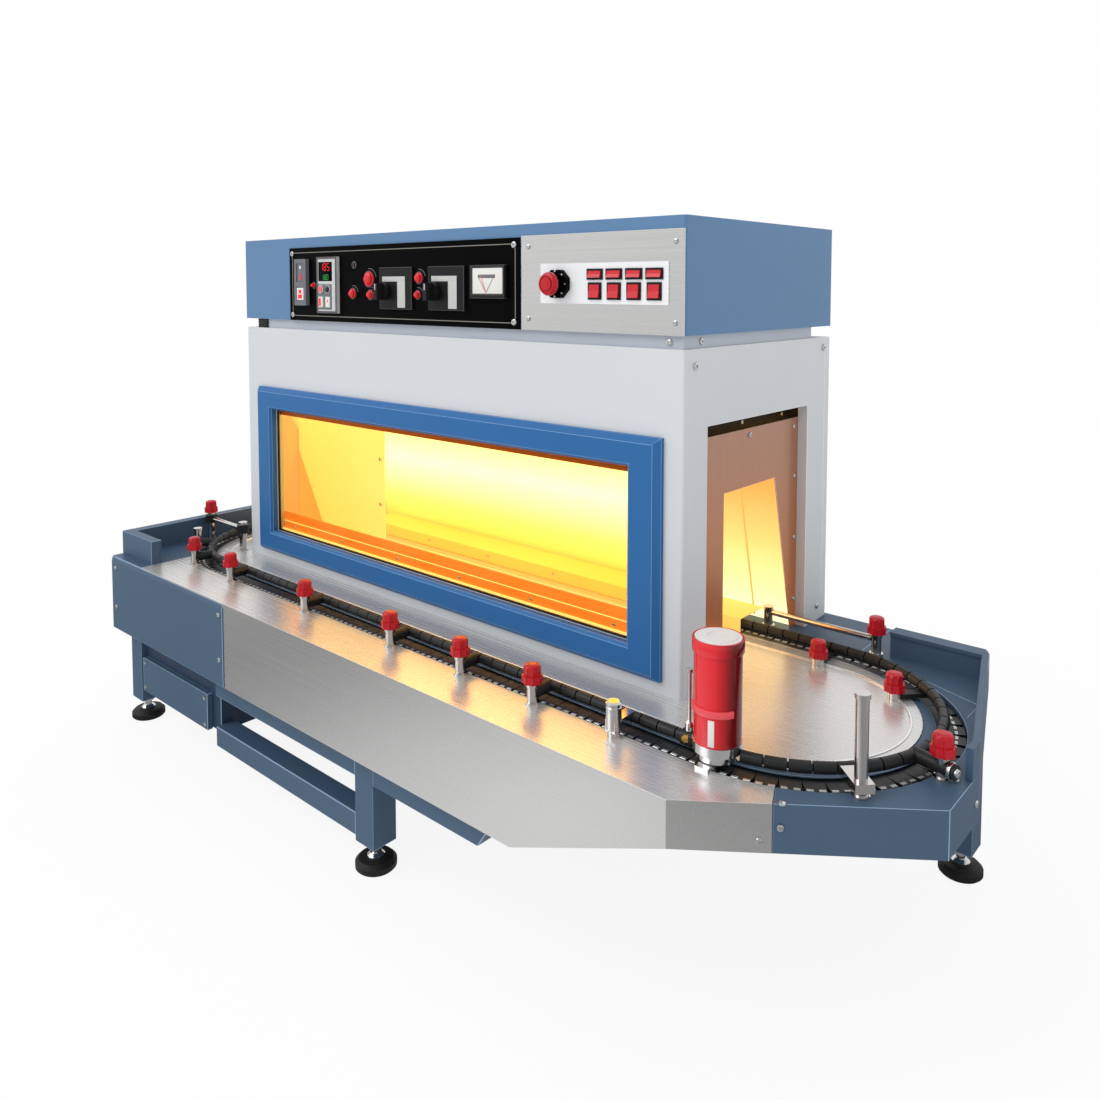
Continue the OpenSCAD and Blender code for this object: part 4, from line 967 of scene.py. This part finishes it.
def figures(name, text, left, middle_z, size, material, slot):
    """A row of seven-bar figures on the display."""
    bar = plate(name, (-size * 0.42, -0.0003, -size * 0.1), (size * 0.42, 0.0003, size * 0.1), 0.0002)
    places = []
    for i, letter in enumerate(text):
        for key in lit_bars[letter]:
            across, up, upright = bar_places[key]
            x = left + (i + 0.5) * size * 1.6 + across * size
            centre = (x, display_low[1] - 0.0003, middle_z + up * size)
            places.append(Matrix.Translation(centre) @ Matrix.Rotation(upright * math.pi / 2, 4, "Y"))
    finish_piece(repeat(bar, places), material)


upper_at = (display_low[0] + 0.008, display_high[2] - 0.014)
lower_at = (display_low[0] + 0.014, display_low[2] + 0.011)
figures("upper_figures", "185", *upper_at, 0.0095, lit_red, "red_plastic")
figures("lower_figures", "180", *lower_at, 0.0070, lit_green, "instrument_grey")

front_y = low[1] + 0.003
rim_low, rim_high = (low[0], front_y - 0.0008, low[2]), (high[0], front_y, high[2])
finish_piece(strip_frame("controller_rim", rim_low, rim_high, 0.006), case_highlight_and_rim_grey)
field = label(
    "controller_field", low[0] + 0.006, high[0] - 0.022, low[2] + 0.010, low[2] + 0.080,
    front_y, 0.0006, 0.0002,
)
finish_piece(field, grey_plastic)
button_z = low[2] + 0.066
set_ring = ring("set_button", 0.0085, 0.0055, 0.0012)
set_dot = ring("set_dot", 0.0028, 0.0008, 0.0012)
set_mark = join_pieces([set_ring, set_dot])
finish_piece(repeat(set_mark, [standing((low[0] + 0.021, low[1], button_z))]), lit_red)
dome = start_piece(
    bpy.ops.mesh.primitive_uv_sphere_add, "dome_button", segments=24, ring_count=12, radius=0.0095,
)
bpy.ops.object.mode_set(mode="EDIT")
bpy.ops.mesh.select_all(action="SELECT")
bpy.ops.mesh.bisect(plane_co=(0.0, 0.0, 0.0), plane_no=(0.0, 0.0, 1.0), use_fill=True, clear_inner=True)
bpy.ops.mesh.select_all(action="SELECT")
bpy.ops.transform.resize(value=(1.0, 1.0, 0.5), center_override=(0.0, 0.0, 0.0))
bpy.ops.object.mode_set(mode="OBJECT")
dark_lens = moulded("dark_lens", "1B2026", 0.1, 0.2, 0.5)
finish_piece(repeat(dome, [standing((low[0] + 0.053, low[1], button_z))]), dark_lens)
key_face, cap_t, key_w = low[1] + 0.001, 0.0006, 0.018
key_caps = []
for left in (low[0] + 0.012, low[0] + 0.044):
    cap = label("key_caps", left, left + key_w, low[2] + 0.018, low[2] + 0.044, key_face, cap_t, 0.0002)
    key_caps.append(cap)
finish_piece(join_pieces(key_caps), paper_white)
key_marks = []
for left, right, foot, top in ((0.013, 0.022, 0.020, 0.042), (0.051, 0.055, 0.030, 0.038)):
    mark = label(
        "key_marks", low[0] + left, low[0] + right, low[2] + foot, low[2] + top,
        key_face - cap_t, 0.0004, 0.0001,
    )
    key_marks.append(mark)
finish_piece(join_pieces(key_marks), lit_red)

# Pilot lamps. Red lenses in dark turned bezels, with a thin pale arc printed beside each of
# the larger ones, and one dark push button in a pale ring.
red_lens = moulded("red_lens", "D8202C", 0.12, 0.25, 0.5, 0.08)
dress(["pilot_lamps"], red_lens)
lamp_sizes = (
    (-0.554, 1.327, 0.007), (-0.376, 1.305, 0.013), (-0.306, 1.343, 0.020),
    (-0.300, 1.302, 0.012), (-0.106, 1.345, 0.0135), (-0.111, 1.303, 0.010),
)
smallest_with_arc = 0.009
bezels, arcs = [], []
for x, z, r in lamp_sizes:
    bezels.append(repeat(ring("lamp_bezels", r + 0.003, r + 0.0003, 0.002), [standing((x, inst_y, z))]))
    if r > smallest_with_arc:
        arc = ring_part("lamp_arcs", r + 0.0085, r + 0.0073, 0.0006, 10, 100)
        arcs.append(repeat(arc, [Matrix.Translation((x, inst_y, z)) @ Matrix.Rotation(math.pi / 2, 4, "X")]))
finish_piece(join_pieces(bezels), dark_lens)
button_place = standing((-0.372, inst_y, 1.381))
button_rim = ring("button_ring", 0.0095, 0.0078, 0.0012)
finish_piece(repeat(button_rim, [button_place]), line_grey)
button_cap = ring("panel_button", 0.0075, 0.0012, 0.004, 0.0012)
finish_piece(repeat(button_cap, [button_place]), dark_lens)
finish_piece(join_pieces(arcs), line_grey)

# Selector switches. Black moulded plates with a pale angled legend strip, and black handles
# whose grips carry a white pointer.
handle_black = moulded("handle_black", "161617", 0.3, 0.5, 0.25)
dress(["selector_left", "selector_right"], handle_black)
legend_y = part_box("selector_plates")[0][1]
legend_silver = painted("legend_silver", "C4C4C2", 0.08)
legend_t, legend_soft, pointer_w, pointer_t = 0.0012, 0.0004, 0.0024, 0.001
for side, centre in (("left", -0.195), ("right", -0.005)):
    right = centre + 0.040
    bar = label(f"{side}_legend", centre - 0.050, right, 1.336, 1.349, legend_y, legend_t, legend_soft)
    leg = label("legend_leg", centre + 0.010, right, 1.270, 1.3365, legend_y, legend_t, legend_soft)
    finish_piece(join_pieces([bar, leg]), legend_silver)
    handle_low, handle_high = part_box(f"selector_{side}")
    left, top = (handle_low[0] + handle_high[0] - pointer_w) / 2, handle_high[2]
    grip_y = handle_low[1] + pointer_t / 2
    pointer = label(
        f"{side}_pointer", left, left + pointer_w, top - 0.018, top - 0.003, grip_y, pointer_t, 0.0003,
    )
    finish_piece(pointer, paper_white, f"{side}_selector")

# Panel meter. A white dial in a black case, with a grey scale bar, two scale lines and a
# red needle.
low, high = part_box("panel_meter")
dial_y = low[1] + 0.003
dial_t, scale_t = 0.0012, 0.0006
dial = label(
    "meter_dial", low[0] + 0.007, high[0] - 0.007, low[2] + 0.011, high[2] - 0.007, dial_y, dial_t, 0.0004,
)
finish_piece(dial, paper_white)
scale_y = dial_y - dial_t
scale = label(
    "meter_scale", low[0] + 0.026, high[0] - 0.030, high[2] - 0.030, high[2] - 0.022,
    scale_y, scale_t, 0.0002,
)
finish_piece(scale, grey_plastic)
meter_foot = ((low[0] + high[0]) / 2 - 0.004, low[2] + 0.013)


def meter_line(name, top_x, thickness, material):
    """A thin line from the foot of the dial up to the scale bar."""
    run = top_x - meter_foot[0]
    rise = high[2] - 0.024 - meter_foot[1]
    half = math.hypot(run, rise) / 2
    line = plate(name, (-thickness / 2, -0.0003, -half), (thickness / 2, 0.0003, half), 0.0001)
    centre = (meter_foot[0] + run / 2, scale_y - 0.0004, meter_foot[1] + rise / 2)
    line.data.transform(Matrix.Translation(centre) @ Matrix.Rotation(math.atan2(run, rise), 4, "Y"))
    finish_piece(line, material)


meter_line("meter_line_left", low[0] + 0.024, 0.0010, grey_plastic)
meter_line("meter_line_right", high[0] - 0.032, 0.0010, grey_plastic)
meter_line("meter_needle", low[0] + 0.034, 0.0012, lit_red)

# Switch panel. A brushed stainless sheet with a white plate, rocker switches in black bezels
# and the emergency stop on its octagonal base.
dress(["switch_panel"], brushed_steel, steel_highlight, edge=0.001)
low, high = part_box("switch_panel")
sheet_xs, sheet_zs = (low[0] + 0.022, high[0] - 0.020), (low[2] + 0.025, high[2] - 0.025)
sheet_spots = [((x, low[1], z), to_front) for x in sheet_xs for z in sheet_zs]
button_screws("switch_panel_screws", 0.0055, sheet_spots)
white_plate = painted("white_plate", "ECEEF0", 0.02)
dress(["switch_label_plate"], white_plate)
dress(["estop_head"], red_knob)
estop_low, estop_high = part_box("estop_base")
estop_x, estop_z = (estop_low[0] + estop_high[0]) / 2, (estop_low[2] + estop_high[2]) / 2
base_y, spot_r = estop_low[1] + 0.004, 0.027
estop_spots = []
for turn in range(0, 360, 45):
    x, z = estop_x + spot_r * math.cos(math.radians(turn)), estop_z + spot_r * math.sin(math.radians(turn))
    estop_spots.append(((x, base_y, z), to_front))
button_screws("estop_screws", 0.0025, estop_spots)

# Rocker switches. Snapped into the sheet in two rows; black moulded bezels with raised rims,
# red where the lens and the rocker stand out of them.
rocker_red, tree, shader, place = new_material("rocker_red")
bezel_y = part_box("switch_label_plate")[0][1] - 0.0021
proud = ranged(tree, along(tree, place, "Y"), 1.0, 0.0, bezel_y - 0.00005, bezel_y)
lens = mixed(tree, proud, linear("121213"), linear("CC1626"))
link(tree, lens, shader.inputs["Base Color"])
link(tree, ranged(tree, noise(tree, place, 60.0), 0.22, 0.36), shader.inputs["Roughness"])
dress(["rocker_switches"], rocker_red)
rocker_low, rocker_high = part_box("rocker_switches")
rocker_x, rocker_step = rocker_low[0] + 0.0195, 0.050
rim_rows = ((0.042, 0.023, rocker_high[2] - 0.010), (0.035, 0.036, rocker_low[2] + 0.0165))
rims = []
for i in range(4):
    across = rocker_x + i * rocker_step
    for width, height, middle in rim_rows:
        rims.append(strip_frame(
            "rocker_rims", (across - width / 2, bezel_y - 0.0003, middle - height / 2),
            (across + width / 2, bezel_y + 0.002, middle + height / 2), 0.0045,
        ))
finish_piece(join_pieces(rims), case_black)
